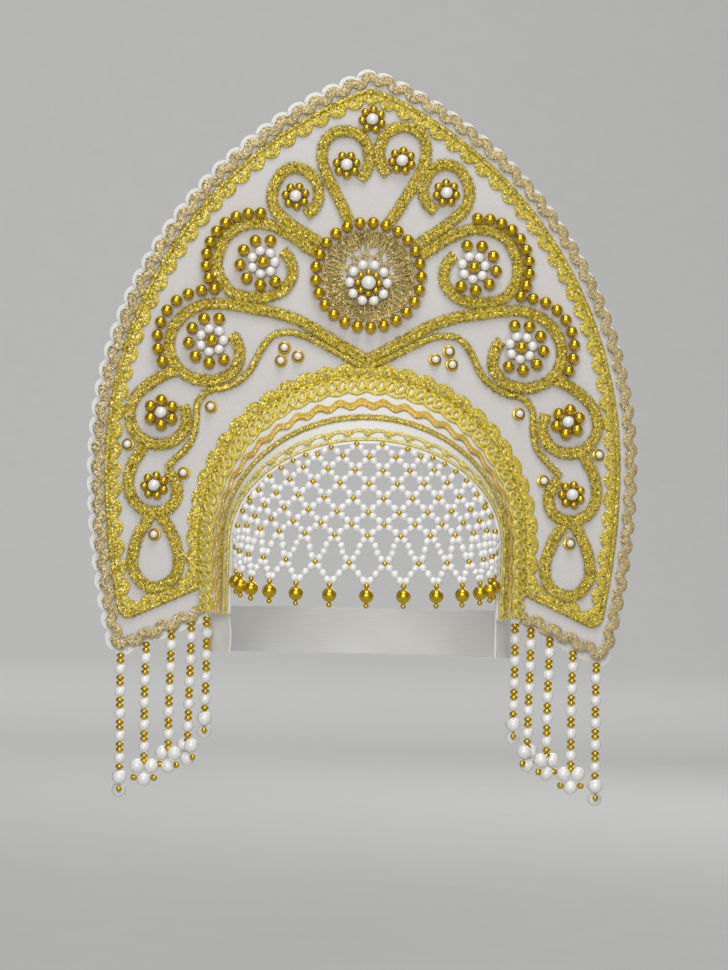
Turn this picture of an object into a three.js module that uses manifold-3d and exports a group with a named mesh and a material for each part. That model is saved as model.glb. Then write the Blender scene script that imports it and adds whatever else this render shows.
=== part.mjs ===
// Kokoshnik headdress: a stiff pointed-arch panel with a head opening, a sloping forehead band, gold
// braids and couched scrolls, bead flowers, a pearl net over the brow and strings of beads at the sides.
// Millimetres. The front faces -Y, +X is to the right seen from the front, +Z is up. The origin is in the
// middle of the head opening, level with the lower ends of the band.
import * as THREE from 'three';
import { mergeVertices } from 'three/addons/utils/BufferGeometryUtils.js';
import Module from 'manifold-3d';

const wasm = await Module();
wasm.setup();

// Driving dimensions of the panel. Insets are measured inwards from the tips of the rim's scallops.
const WIDEST_X = 154.2;
const WIDEST_Z = 82;
const UPPER_RADIUS = 237;
const LOWER_RADIUS = 406;
const LOWER_EDGE = { innerX: 84, innerZ: -4.5, cornerX: 138.5, cornerZ: -29.5 };
const PANEL_INSET = 2.5;
const PANEL_THICKNESS = 3;
const PANEL_BEND_RADIUS = 600;
const PANEL_LEAN = Math.tan(THREE.MathUtils.degToRad(5));

// Head opening, and the rows of the forehead band from the panel's back to the brow. Each row is an
// arch of half-width a, rise b and springing height spring, set forward of the panel or at its own depth.
const OPENING = { a: 88.5, b: 89, spring: 40 };
const BAND_THICKNESS = 2;
const BAND_END_Z = -2;
const BAND_LEG_SHARE = 0.14;
const BAND_ROWS = [
  { at: 0, a: 88.1, b: 88.6, spring: 40, forward: -PANEL_THICKNESS },
  { at: 0.1, a: 88.1, b: 88.6, spring: 40, forward: 1 },
  { at: 0.28, a: 81, b: 80.5, spring: 39.5, forward: 9 },
  { at: 0.64, a: 77, b: 67.5, spring: 38.7, forward: null },
  { at: 1, a: 74, b: 56, spring: 38, forward: null },
];
const BROW_FRONT_Y = -38;
const BROW_END_Y = -13;
const BROW_TOP_Z = 94;

const GAP = 0.35;
const TRIM_THICKNESS = 1.2;
const CORD_HEIGHT = 2.4;
const CORD_WIDTH = 5;
const VINE_WIDTH = 3;
const CORD_STEP = 8.5;
const RIM_LOW_STEPS = 4;
const RIM_HIGH_STEPS = 13;
const LONG_STEPS = 24;

const WHITE_FELT = { color: 0xe4e3dd, roughness: 0.95, metalness: 0 };
const WHITE_SATIN = { color: 0xf1f0ec, roughness: 0.5, metalness: 0 };
const CHAMPAGNE = { color: 0xcdb684, roughness: 0.6, metalness: 0.4 };
const GOLD_BRAID = { color: 0xb6a02c, roughness: 0.45, metalness: 0.6 };
const LEMON_LACE = { color: 0xe3d667, roughness: 0.6, metalness: 0.2 };
const OLD_GOLD = { color: 0x9c8440, roughness: 0.5, metalness: 0.6 };
const GOLD_BEAD = { color: 0xd6a21e, roughness: 0.2, metalness: 0.9 };
const PEARL = { color: 0xf4f2ee, roughness: 0.2, metalness: 0 };

const headdress = new THREE.Group();

// Shared geometry helpers

function point(x, z) {
  return new THREE.Vector2(x, z);
}

// A point on the panel's front face, or above it by height along the face's normal.
function onPanel(x, z, height) {
  const y = (x * x) / (2 * PANEL_BEND_RADIUS) + z * PANEL_LEAN;
  const normal = new THREE.Vector3(x / PANEL_BEND_RADIUS, -1, PANEL_LEAN).normalize();
  return new THREE.Vector3(x, y, z).addScaledVector(normal, height);
}

// One closed body from a geometry's positions, with shared vertices merged and its faces pointing out.
function closed(geometry) {
  geometry.deleteAttribute('normal');
  geometry.deleteAttribute('uv');
  const body = mergeVertices(geometry, 1e-4);
  if (signedVolume(body) < 0) {
    body.setIndex(Array.from(body.index.array).reverse());
  }
  return body;
}

function signedVolume(geometry) {
  const corners = [0, 1, 2].map(() => new THREE.Vector3());
  const index = geometry.index;
  let volume = 0;
  for (let i = 0; i < index.count; i += 3) {
    corners.forEach((corner, k) => corner.fromBufferAttribute(geometry.attributes.position, index.getX(i + k)));
    volume += corners[0].dot(corners[1].cross(corners[2])) / 6;
  }
  return volume;
}

// Moves every vertex of a geometry to place(x, y, z).
function remap(geometry, place) {
  const position = geometry.attributes.position;
  for (let i = 0; i < position.count; i += 1) {
    const to = place(position.getX(i), position.getY(i), position.getZ(i));
    position.setXYZ(i, to.x, to.y, to.z);
  }
  return closed(geometry);
}

// A bent bar: place(t, s, h) takes shares of its length, width and thickness, each from 0 to 1.
function bar(steps, across, place) {
  const box = new THREE.BoxGeometry(1, 1, 1, steps, across, 1);
  return remap(box, (x, y, z) => place(x + 0.5, y + 0.5, z + 0.5));
}

// A flat strip on the panel between two lines of equally many points.
function panelStrip(outer, inner, low, high, across = 1) {
  const steps = outer.length - 1;
  return bar(steps, across, (t, s, h) => {
    const i = Math.round(t * steps);
    const at = outer[i].clone().lerp(inner[i], s);
    return onPanel(at.x, at.y, THREE.MathUtils.lerp(low, high, h));
  });
}

function solid(geometry) {
  return new wasm.Manifold(new wasm.Mesh({
    numProp: 3,
    vertProperties: new Float32Array(geometry.attributes.position.array),
    triVerts: new Uint32Array(geometry.index.array),
  }));
}

function fused(geometries) {
  const mesh = geometries.map(solid).reduce((sum, next) => sum.add(next)).getMesh();
  const geometry = new THREE.BufferGeometry();
  geometry.setAttribute('position', new THREE.BufferAttribute(new Float32Array(mesh.vertProperties), 3));
  geometry.setIndex(Array.from(mesh.triVerts));
  return geometry;
}

function add(name, geometry, finish) {
  const mesh = new THREE.Mesh(geometry, new THREE.MeshStandardMaterial(finish));
  mesh.name = name;
  headdress.add(mesh);
}

const SIDES = [
  { label: 'left', sign: -1 },
  { label: 'right', sign: 1 },
];

// Outline of the panel

const lowerEdge = new THREE.Vector2(
  LOWER_EDGE.cornerX - LOWER_EDGE.innerX,
  LOWER_EDGE.cornerZ - LOWER_EDGE.innerZ,
).normalize();
const lowerInward = point(-lowerEdge.y, lowerEdge.x);

function lowerEdgeZ(x, inset) {
  const z = LOWER_EDGE.innerZ + ((x - LOWER_EDGE.innerX) * lowerEdge.y) / lowerEdge.x;
  return z + inset / lowerEdge.x;
}

// Where the lower side arc, moved inwards by inset, meets the slanted lower edge, moved inwards by lower.
function lowerCorner(inset, lower = inset) {
  const centre = point(WIDEST_X - LOWER_RADIUS, WIDEST_Z);
  const radius = LOWER_RADIUS - inset;
  const edge = point(LOWER_EDGE.innerX, LOWER_EDGE.innerZ).addScaledVector(lowerInward, lower);
  const away = edge.clone().sub(centre).dot(lowerInward);
  const foot = centre.clone().addScaledVector(lowerInward, away);
  return foot.addScaledVector(lowerEdge, Math.sqrt(radius * radius - away * away));
}

function arcPoints(centreX, radius, from, to, steps) {
  return Array.from({ length: steps + 1 }, (_, i) => {
    const angle = THREE.MathUtils.lerp(from, to, i / steps);
    return point(centreX + radius * Math.cos(angle), WIDEST_Z + radius * Math.sin(angle));
  });
}

// The right-hand rim from the lower corner up to the apex.
function rimHalf(inset, lower = inset) {
  const corner = lowerCorner(inset, lower);
  const lowCentre = WIDEST_X - LOWER_RADIUS;
  const highCentre = WIDEST_X - UPPER_RADIUS;
  const cornerAngle = Math.atan2(corner.y - WIDEST_Z, corner.x - lowCentre);
  const apexAngle = Math.acos(-highCentre / (UPPER_RADIUS - inset));
  const low = arcPoints(lowCentre, LOWER_RADIUS - inset, cornerAngle, 0, RIM_LOW_STEPS);
  const high = arcPoints(highCentre, UPPER_RADIUS - inset, 0, apexAngle, RIM_HIGH_STEPS);
  return [...low, ...high.slice(1)];
}

// A half line from the right mirrored to the left, as one line over the apex.
function mirrored(half) {
  const back = half.slice(0, -1).reverse();
  return [...half, ...back.map((at) => point(-at.x, at.y))];
}

const rimLine = (inset) => mirrored(rimHalf(inset));

// The whole rim, lower edges included, from the inner end at innerX round to its mirror image. The lower
// edges may be moved inwards by a distance of their own.
function perimeter(inset, innerX, lower = inset) {
  const corner = lowerCorner(inset, lower);
  const start = point(innerX, lowerEdgeZ(innerX, lower));
  const edge = [0, 1, 2].map((i) => start.clone().lerp(corner, i / 3));
  return mirrored([...edge, ...rimHalf(inset, lower)]);
}

// An arch with straight legs: half-width a, rise b, springing height and the height of its lower ends.
function archAt(row, endZ, t) {
  const sign = t < 0.5 ? 1 : -1;
  const half = Math.min(t, 1 - t);
  if (half <= BAND_LEG_SHARE) {
    return point(sign * row.a, THREE.MathUtils.lerp(endZ, row.spring, half / BAND_LEG_SHARE));
  }
  const angle = (Math.PI * (t - BAND_LEG_SHARE)) / (1 - 2 * BAND_LEG_SHARE);
  return point(row.a * Math.cos(angle), row.spring + row.b * Math.sin(angle));
}

// Shares of the arch's length: steps on each leg and round the crown, the same for every line.
function archShares(legSteps, crownSteps) {
  const leg = Array.from({ length: legSteps }, (_, i) => (BAND_LEG_SHARE * i) / legSteps);
  const crown = Array.from({ length: crownSteps + 1 }, (_, i) => (
    BAND_LEG_SHARE + ((1 - 2 * BAND_LEG_SHARE) * i) / crownSteps
  ));
  return [...leg, ...crown, ...leg.map((share) => 1 - share).reverse()];
}

function openingLine(grow, endZ, shares) {
  const row = { a: OPENING.a + grow, b: OPENING.b + grow, spring: OPENING.spring };
  return shares.map((t) => archAt(row, endZ, t));
}

// Panel, its rim trims and the two scalloped braids

function buildPanel() {
  const rim = rimLine(PANEL_INSET);
  const opening = openingLine(0, lowerEdgeZ(OPENING.a, PANEL_INSET), archShares(RIM_LOW_STEPS + RIM_HIGH_STEPS - LONG_STEPS / 2, LONG_STEPS));
  add('plate', panelStrip(rim, opening, -PANEL_THICKNESS, 0, 3), WHITE_FELT);
}

function buildPanelTrims() {
  const innerX = OPENING.a + 1;
  const back = -PANEL_THICKNESS - GAP;
  const scallops = panelStrip(perimeter(0, innerX), perimeter(8, innerX), back - 1, back);
  add('rim_scallops', scallops, WHITE_FELT);
  const onFace = [GAP, GAP + TRIM_THICKNESS];
  const rickrack = panelStrip(perimeter(1, innerX), perimeter(9, innerX), ...onFace);
  add('rim_rickrack', rickrack, CHAMPAGNE);
  const borderX = OPENING.a + 10;
  const border = panelStrip(perimeter(10, borderX, 16.5), perimeter(19, borderX, 23.5), ...onFace);
  add('border_braid', border, GOLD_BRAID);
  const shares = archShares(3, LONG_STEPS);
  const archEnd = 11;
  const arch = panelStrip(openingLine(9, archEnd, shares), openingLine(0.8, archEnd, shares), ...onFace);
  add('arch_braid', arch, GOLD_BRAID);
}

// Forehead band

function bandRowPoint(row, t) {
  const at = archAt(row, BAND_END_Z, t);
  if (row.forward !== null) {
    return onPanel(at.x, at.y, row.forward);
  }
  const brow = THREE.MathUtils.mapLinear(at.y, BAND_END_Z, BROW_TOP_Z, BROW_END_Y, BROW_FRONT_Y);
  const root = onPanel(at.x, at.y, BAND_ROWS[2].forward).y;
  const share = (row.at - BAND_ROWS[2].at) / (1 - BAND_ROWS[2].at);
  return new THREE.Vector3(at.x, THREE.MathUtils.lerp(root, brow, share), at.y);
}

function bandSurface(t, s) {
  const last = BAND_ROWS.findIndex((row) => row.at >= s - 1e-9);
  const [from, to] = [BAND_ROWS[Math.max(last - 1, 0)], BAND_ROWS[Math.max(last, 1)]];
  const share = (s - from.at) / (to.at - from.at);
  return bandRowPoint(from, t).lerp(bandRowPoint(to, t), share);
}

// A point on the band's outer face, or off it by height along the face's normal.
function onBand(t, s, height) {
  const step = 0.01;
  const along = bandSurface(Math.min(t + step, 1), s).sub(bandSurface(Math.max(t - step, 0), s));
  const across = bandSurface(t, Math.min(s + step, 1)).sub(bandSurface(t, Math.max(s - step, 0)));
  const normal = along.cross(across).normalize();
  return bandSurface(t, s).addScaledVector(normal, height);
}

function bandStrip(rows, low, high) {
  const shares = archShares(3, LONG_STEPS);
  return bar(shares.length - 1, rows.length - 1, (t, s, h) => {
    const share = shares[Math.round(t * (shares.length - 1))];
    const row = rows[Math.round(s * (rows.length - 1))];
    return onBand(share, row, THREE.MathUtils.lerp(low, high, h));
  });
}

function buildBand() {
  add('forehead_band', bandStrip(BAND_ROWS.map((row) => row.at), -BAND_THICKNESS, 0), WHITE_SATIN);
  add('arch_lace', bandStrip([0.12, 0.27], GAP, GAP + 0.8), LEMON_LACE);
  add('brow_lace', bandStrip([0.79, 0.885, 0.98], GAP, GAP + 0.8), LEMON_LACE);
}

// Couched cord scrolls. Each route is the line that the cord is sewn along, on the right-hand side.
const SCROLLS = [
  { name: 'heart', width: CORD_WIDTH, route: [[12.8, 219.5], [18, 230], [24, 241], [28.6, 252], [28.6, 262],
    [23.5, 268.7], [14, 270.3], [6.5, 266], [3.6, 258], [5.3, 250]] },
  { name: 'side_scroll', width: CORD_WIDTH, route: [[30.5, 208], [46, 218.5], [54, 227], [55.4, 237],
    [50, 247.3], [41.5, 250.2], [33.2, 245.5], [30.4, 237], [33, 230.2]] },
  { name: 'upper_scroll', width: CORD_WIDTH, route: [[34.5, 202.5], [44, 209], [56.5, 214.5], [68, 214],
    [77.5, 208.5], [83, 198], [83, 186.5], [76, 176.5], [66, 174], [55, 174.4], [46.5, 178.5], [41.8, 186.5],
    [43.5, 195]] },
  { name: 'middle_scroll', width: CORD_WIDTH, route: [[3.6, 143.2], [14, 147.4], [25, 153.8], [38, 161],
    [52, 165.2], [66, 167.5], [80, 169.5], [92, 168.2], [102, 162.2], [108.2, 153], [108.6, 140.8],
    [102, 131], [89.5, 126.3], [77, 129.2], [70.3, 138], [71.5, 148.5]] },
  { name: 'lower_scroll', width: CORD_WIDTH, route: [[110, 130.2], [120.4, 123.5], [127.5, 116.3],
    [130.3, 107], [127.3, 97.5], [119, 91.3], [109.5, 91], [102, 95.5], [98.8, 102.5]] },
  { name: 'tail_scroll', width: CORD_WIDTH, route: [[124, 86.3], [129, 77], [130, 66.6], [126, 57.8],
    [117.5, 53], [108.5, 54.6], [103.2, 61], [103.6, 68]] },
  { name: 'teardrop', width: CORD_WIDTH, route: [[108.2, 47], [103.6, 37], [101.2, 27], [103, 18],
    [110, 12.8], [118, 12.2], [124.6, 17.8], [127, 26], [125, 37], [120.6, 47]] },
  { name: 'vine', width: VINE_WIDTH, route: [[14.5, 141.6], [31, 151], [42, 154.2], [51, 153], [57.5, 146],
    [65, 132], [75, 124], [87, 120.8], [93, 114], [93.6, 102], [97, 91], [107.5, 79]] },
];

// A flat bar along a route on the panel.
function cordOnPanel(route, width, sign) {
  const curve = new THREE.CatmullRomCurve3(route.map(([x, z]) => new THREE.Vector3(sign * x, z, 0)));
  const steps = Math.round(curve.getLength() / CORD_STEP);
  return bar(steps, 1, (t, s, h) => {
    const at = curve.getPointAt(t);
    const way = curve.getTangentAt(t);
    const side = (s - 0.5) * width;
    return onPanel(at.x - way.y * side, at.y + way.x * side, THREE.MathUtils.lerp(GAP, GAP + CORD_HEIGHT, h));
  });
}

function buildScrolls() {
  for (const { label, sign } of SIDES) {
    for (const scroll of SCROLLS) {
      add(`${scroll.name}_${label}`, cordOnPanel(scroll.route, scroll.width, sign), GOLD_BRAID);
    }
  }
}

// Bead flowers. Every flower is a scalloped dome with one bump for each bead of its outer ring.
const FLOWERS = [
  { name: 'heart_flower', x: 15.5, z: 251.3, radius: 7.3, beads: 8, height: 4.5, finish: GOLD_BEAD },
  { name: 'side_flower', x: 42.5, z: 234, radius: 7.3, beads: 8, height: 4.5, finish: GOLD_BEAD },
  { name: 'upper_flower', x: 58.3, z: 192.7, radius: 8.7, beads: 7, height: 5.5, finish: PEARL },
  { name: 'middle_flower', x: 85.6, z: 148.8, radius: 8.7, beads: 7, height: 5.5, finish: PEARL },
  { name: 'lower_flower', x: 112.5, z: 108.1, radius: 9, beads: 6, height: 5.5, finish: GOLD_BEAD },
  { name: 'tail_flower', x: 115.5, z: 67.6, radius: 7.3, beads: 8, height: 4.5, finish: GOLD_BEAD },
];
const TOP_FLOWER = { x: 0, z: 275.6, radius: 7.3, beads: 8, height: 4.5 };
const MEDALLION = { z: 186.9, rosetteRadius: 26, ringRadius: 29.5, ringBead: 5.8 };
const RING_STEPS = 40;
const MEDALLION_FLOWER = { x: 0, z: 182.4, radius: 13.5, beads: 10, height: 6 };

function bumpDome(flower, low) {
  const profile = [[0, 0], [1, 0], [1, 0.5], [0.62, 1], [0, 1]].map(([r, h]) => (
    point(r * flower.radius, h * flower.height)
  ));
  const lathe = new THREE.LatheGeometry(profile, 2 * flower.beads);
  return remap(lathe, (x, y, z) => {
    const reach = 1 + 0.1 * Math.cos(flower.beads * Math.atan2(z, x)) - 0.1;
    return onPanel(flower.x + x * reach, flower.z + z * reach, low + y);
  });
}

function buildFlowers() {
  for (const { label, sign } of SIDES) {
    for (const flower of FLOWERS) {
      const dome = bumpDome({ ...flower, x: sign * flower.x }, GAP);
      add(`${flower.name}_${label}`, dome, flower.finish);
    }
  }
  add('top_flower', bumpDome(TOP_FLOWER, GAP), GOLD_BEAD);
}

function buildMedallion() {
  const disc = new THREE.CylinderGeometry(MEDALLION.rosetteRadius, MEDALLION.rosetteRadius, TRIM_THICKNESS, 32);
  const rosette = remap(disc, (x, y, z) => onPanel(x, MEDALLION.z + z, GAP + TRIM_THICKNESS / 2 + y));
  add('medallion_rosette', rosette, OLD_GOLD);
  const { ringRadius, ringBead } = MEDALLION;
  const torus = new THREE.TorusGeometry(ringRadius, ringBead / 2, 5, RING_STEPS);
  const ring = remap(torus, (x, y, z) => onPanel(x, MEDALLION.z + y, GAP + ringBead / 2 + z));
  add('medallion_bead_ring', ring, GOLD_BEAD);
  add('medallion_flower', bumpDome(MEDALLION_FLOWER, 2 * GAP + TRIM_THICKNESS), PEARL);
}

// Rows of gold beads sewn in arcs, as a smooth string on the right-hand side, angles in degrees.
const BEAD_ROWS = [
  { name: 'upper_inner_row', x: 58.3, z: 192.7, radius: 12.3, from: 108, to: -123 },
  { name: 'middle_inner_row', x: 85.6, z: 148.8, radius: 12.3, from: 108, to: -123 },
  { name: 'upper_outer_row', x: 62.5, z: 193, radius: 27.2, from: 95, to: -35 },
  { name: 'middle_outer_row', x: 88, z: 149, radius: 27.6, from: 82, to: -27 },
];
const ROW_BEAD = 5.2;
const ROW_STEPS = 6;

function buildBeadRows() {
  const section = new THREE.Shape(arcSection(ROW_BEAD / 2, 8));
  for (const { label, sign } of SIDES) {
    for (const row of BEAD_ROWS) {
      const places = Array.from({ length: ROW_STEPS + 1 }, (_, i) => {
        const angle = THREE.MathUtils.degToRad(THREE.MathUtils.lerp(row.from, row.to, i / ROW_STEPS));
        const x = sign * (row.x + row.radius * Math.cos(angle));
        return onPanel(x, row.z + row.radius * Math.sin(angle), GAP + ROW_BEAD / 2 + 0.2);
      });
      const extrudePath = new THREE.CatmullRomCurve3(places);
      const string = new THREE.ExtrudeGeometry(section, { steps: ROW_STEPS, extrudePath });
      add(`${row.name}_${label}`, closed(string), GOLD_BEAD);
    }
  }
}

function arcSection(radius, sides) {
  return Array.from({ length: sides }, (_, i) => {
    const angle = (2 * Math.PI * i) / sides;
    return point(radius * Math.cos(angle), radius * Math.sin(angle));
  });
}

// Strings of beads that hang from the slanted lower edges. Hidden is the length tucked up behind the rim
// trims. Each string ends in two pearls side by side over a third, turned about it by turn degrees.
const STRANDS = [
  { x: 85.7, top: -5.8, hidden: 1, pearls: 4, turn: 90 },
  { x: 94.4, top: -7.2, hidden: 3.6, pearls: 5, turn: 60 },
  { x: 105.2, top: -13.4, hidden: 2.4, pearls: 5, turn: 35 },
  { x: 118.8, top: -20.2, hidden: 1.9, pearls: 5, turn: 0 },
  { x: 132.5, top: -28, hidden: 0.4, pearls: 5, turn: 90 },
];
const STRAND_PITCH = 12.3;
const STRAND_PEARL = 6;
const STRAND_GOLD = 4;
const STRAND_END = { reach: 7.5, across: 3.8, neck: 3, pair: 0.7, foot: 8.2, height: 12 };

function buildStrands() {
  for (const { label, sign } of SIDES) {
    STRANDS.forEach((strand, i) => {
      const profile = [point(0, -strand.hidden), point(STRAND_GOLD / 2, -strand.hidden - 0.6)];
      for (let k = 0; k < strand.pearls; k += 1) {
        const pearl = -(k + 0.76) * STRAND_PITCH;
        profile.push(point(STRAND_GOLD / 2, pearl + STRAND_PEARL / 2), point(STRAND_PEARL / 2, pearl));
      }
      const end = -(strand.pearls + 0.55) * STRAND_PITCH;
      profile.push(point(STRAND_GOLD / 2, end + STRAND_END.neck), point(STRAND_END.reach, end - STRAND_END.pair));
      profile.push(point(STRAND_END.across, end - STRAND_END.foot), point(0, end - STRAND_END.height));
      const lathe = new THREE.LatheGeometry(profile, 8);
      const hung = onPanel(sign * strand.x, strand.top, -PANEL_THICKNESS / 2);
      const turn = THREE.MathUtils.degToRad(sign * strand.turn);
      const string = remap(lathe, (x, y, z) => {
        const flat = Math.hypot(x, z) > STRAND_PEARL ? STRAND_END.across / STRAND_END.reach : 1;
        const at = point(x, z * flat).rotateAround(point(0, 0), turn);
        return new THREE.Vector3(hung.x + at.x, hung.y + at.y, hung.z + y);
      });
      add(`strand_${label}_${i + 1}`, string, PEARL);
    });
  }
}

// Pearl net: columns run from -13 to 13, drops hang on the even ones. Each level is a row of crossings,
// given as its rise above the drops.
const NET_COLUMNS = 13;
const NET_RISES = [0, 12.3, 27.2, 33.4, 40, 47.5, 55.5, 62.8, 70.2, 80];
const NET_TOP = { a: 67.8, b: 51.8, spring: 38, turn: 5.6, ease: 0.0078 };
const NET_FOOT = { a: 71, depth: 17, backY: -23.5, turn: 8.3, ease: -0.009 };
const NET_DROP_Z = 15.8;
const NET_DROP_LIFT = 7;
const NET_THICKNESS = 3.2;
const NET_STRAND = 3.8;
const NET_COLUMN_WIDTH = 8;
const DROP = { bead: 8, small: 3, hang: 12 };

// Where a column of the net stands round the head: evenly at first, then eased to the sides.
function netAngle(end, column) {
  return THREE.MathUtils.degToRad(end.turn * column + end.ease * column ** 3);
}

function netTop(column) {
  const angle = netAngle(NET_TOP, column);
  const z = NET_TOP.spring + NET_TOP.b * Math.cos(angle);
  const y = THREE.MathUtils.mapLinear(z, BAND_END_Z, BROW_TOP_Z, BROW_END_Y, BROW_FRONT_Y) + 2.5;
  return new THREE.Vector3(NET_TOP.a * Math.sin(angle), y, z);
}

function netFoot(column) {
  const angle = netAngle(NET_FOOT, column);
  const z = NET_DROP_Z + NET_DROP_LIFT * (column / NET_COLUMNS) ** 2;
  const y = NET_FOOT.backY - NET_FOOT.depth * Math.cos(angle);
  return new THREE.Vector3(NET_FOOT.a * Math.sin(angle), y, z);
}

// A point of the net at a column and height, or in front of it by height h.
function onNet(column, z, h) {
  const [top, foot] = [netTop(column), netFoot(column)];
  const share = (top.z - z) / (top.z - foot.z);
  const angle = netAngle(NET_FOOT, column);
  const out = new THREE.Vector3(Math.sin(angle), -Math.cos(angle), 0);
  const at = top.lerp(foot, share);
  return new THREE.Vector3(at.x, at.y, z).addScaledVector(out, h);
}

function crossing(column, level) {
  return point(column * NET_COLUMN_WIDTH, netFoot(column).z + NET_RISES[level]);
}

// The gap between four crossings, drawn in by half a strand of pearls.
function netGap(column, level) {
  const corners = [[column, level - 1], [column + 1, level], [column, level + 1], [column - 1, level]];
  const places = corners.map(([c, l]) => crossing(c, l));
  const centre = places.reduce((sum, at) => sum.add(at), point(0, 0)).divideScalar(4);
  const [dx, dz] = [NET_COLUMN_WIDTH, (places[2].y - places[0].y) / 2];
  const keep = 1 - (NET_STRAND / 2) * (Math.hypot(dx, dz) / (dx * dz));
  return places.map((at) => at.lerp(centre, 1 - keep));
}

function netShape() {
  const outline = [];
  for (let column = -NET_COLUMNS; column <= NET_COLUMNS; column += 1) {
    const level = Math.abs(column) % 2;
    outline.push(crossing(column, level).sub(point(0, NET_STRAND / 2)));
  }
  for (let column = NET_COLUMNS; column >= -NET_COLUMNS; column -= 1) {
    outline.push(point(column * NET_COLUMN_WIDTH, netTop(column).z));
  }
  const shape = new THREE.Shape(outline);
  for (let level = 1; level < NET_RISES.length - 1; level += 1) {
    for (let column = 1 - NET_COLUMNS; column < NET_COLUMNS; column += 1) {
      const fits = crossing(column, level + 1).y < netTop(column).z - 1;
      if ((column + level) % 2 !== 0 && fits) {
        shape.holes.push(new THREE.Path(netGap(column, level)));
      }
    }
  }
  return shape;
}

function netDrop(column) {
  const foot = onNet(column, crossing(column, 0).y, 0);
  const profile = [point(0, 1), point(DROP.small / 2, -1), point(DROP.bead / 2, -DROP.hang / 2 - 2)];
  profile.push(point(DROP.small / 2, -DROP.hang + 0.5), point(0, -DROP.hang - 2));
  return remap(new THREE.LatheGeometry(profile, 10), (x, y, z) => (
    new THREE.Vector3(foot.x + x, foot.y + z, foot.z + y)
  ));
}

function buildNet() {
  const sheet = new THREE.ExtrudeGeometry(netShape(), { depth: NET_THICKNESS, steps: 1, bevelEnabled: false });
  const net = remap(sheet, (x, y, z) => onNet(x / NET_COLUMN_WIDTH, y, z - NET_THICKNESS / 2));
  const drops = [];
  for (let column = 1 - NET_COLUMNS; column < NET_COLUMNS; column += 2) {
    drops.push(netDrop(column));
  }
  add('pearl_net', fused([net, ...drops]), PEARL);
}

// Ribbon from inside one lower end of the band round the back of the head to the other.
const RIBBON = { width: 26, thickness: 1.2, lowZ: -23, steps: 26 };
const RIBBON_HALF = [[74, -6], [78, 3], [82.3, 14], [84.6, 30], [79, 62], [48, 95], [0, 106]];

function buildRibbon() {
  const half = RIBBON_HALF.map(([x, y]) => new THREE.Vector3(x, y, 0));
  const back = half.slice(0, -1).reverse().map((at) => new THREE.Vector3(-at.x, at.y, 0));
  const curve = new THREE.CatmullRomCurve3([...half, ...back]);
  const ribbon = bar(RIBBON.steps, 1, (t, s, h) => {
    const at = curve.getPointAt(t);
    const way = curve.getTangentAt(t);
    const off = (h - 0.5) * RIBBON.thickness;
    return new THREE.Vector3(at.x - way.y * off, at.y + way.x * off, RIBBON.lowZ + s * RIBBON.width);
  });
  add('back_ribbon', ribbon, WHITE_SATIN);
}

buildPanel();
buildPanelTrims();
buildBand();
buildScrolls();
buildFlowers();
buildMedallion();
buildBeadRows();
buildStrands();
buildNet();
buildRibbon();

export default headdress;
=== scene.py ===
"""Kokoshnik headdress: a stiff felt panel with gold braids, couched scrolls and beadwork, a satin forehead
band, a pearl net over the brow and strings of beads at the sides. Shapes are worked out in millimetres, in
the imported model's frame, and each finished piece is scaled to metres."""
import bisect
import random
from math import acos, asin, atan2, cos, exp, hypot, pi, radians, sin, sqrt, tan, tau

import bmesh
import bpy
from bpy.props import FloatProperty, FloatVectorProperty, PointerProperty
from mathutils import Matrix, Vector, noise
from mathutils.geometry import interpolate_bezier


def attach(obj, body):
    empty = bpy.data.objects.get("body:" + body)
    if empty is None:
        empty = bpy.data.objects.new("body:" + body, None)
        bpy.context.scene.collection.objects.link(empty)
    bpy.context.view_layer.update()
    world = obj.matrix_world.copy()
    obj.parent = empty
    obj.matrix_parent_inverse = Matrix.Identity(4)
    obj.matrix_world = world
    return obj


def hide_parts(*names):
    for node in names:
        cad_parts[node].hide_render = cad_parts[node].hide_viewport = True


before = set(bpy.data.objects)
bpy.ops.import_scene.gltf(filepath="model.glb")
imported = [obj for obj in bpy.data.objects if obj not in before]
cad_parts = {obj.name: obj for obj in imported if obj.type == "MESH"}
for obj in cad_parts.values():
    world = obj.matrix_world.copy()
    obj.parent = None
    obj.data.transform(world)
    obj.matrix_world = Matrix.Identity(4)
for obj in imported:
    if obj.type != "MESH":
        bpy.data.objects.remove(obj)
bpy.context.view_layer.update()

bl_info = {
    "name": "Kokoshnik Headdress",
    "version": (1, 0, 0),
    "blender": (4, 5, 0),
    "location": "3D View > Sidebar > Kokoshnik",
    "description": "Builds a felt kokoshnik with gold braids, bead flowers and a pearl net",
    "category": "Add Mesh",
}

MM = 0.001
SIDES = {"left": -1, "right": 1}

# Panel: a pointed arch of two arcs a side, bent round the head and leaning back.
WIDEST_X = 154.2
WIDEST_Z = 82
UPPER_RADIUS = 237
LOWER_RADIUS = 406
LOWER_INNER = Vector((84, -4.5))
LOWER_CORNER = Vector((138.5, -29.5))
PANEL_INSET = 4.6
PANEL_THICKNESS = 3
PANEL_BEND = 600
PANEL_LEAN = tan(radians(5))
RIM_LOW_STEPS = 4
RIM_HIGH_STEPS = 13
RIM_STEPS = RIM_LOW_STEPS + RIM_HIGH_STEPS
OPENING_LEG_STEPS = 5
# Head opening: half-width, rise and springing height.
OPENING = (88.5, 89, 40)

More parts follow.
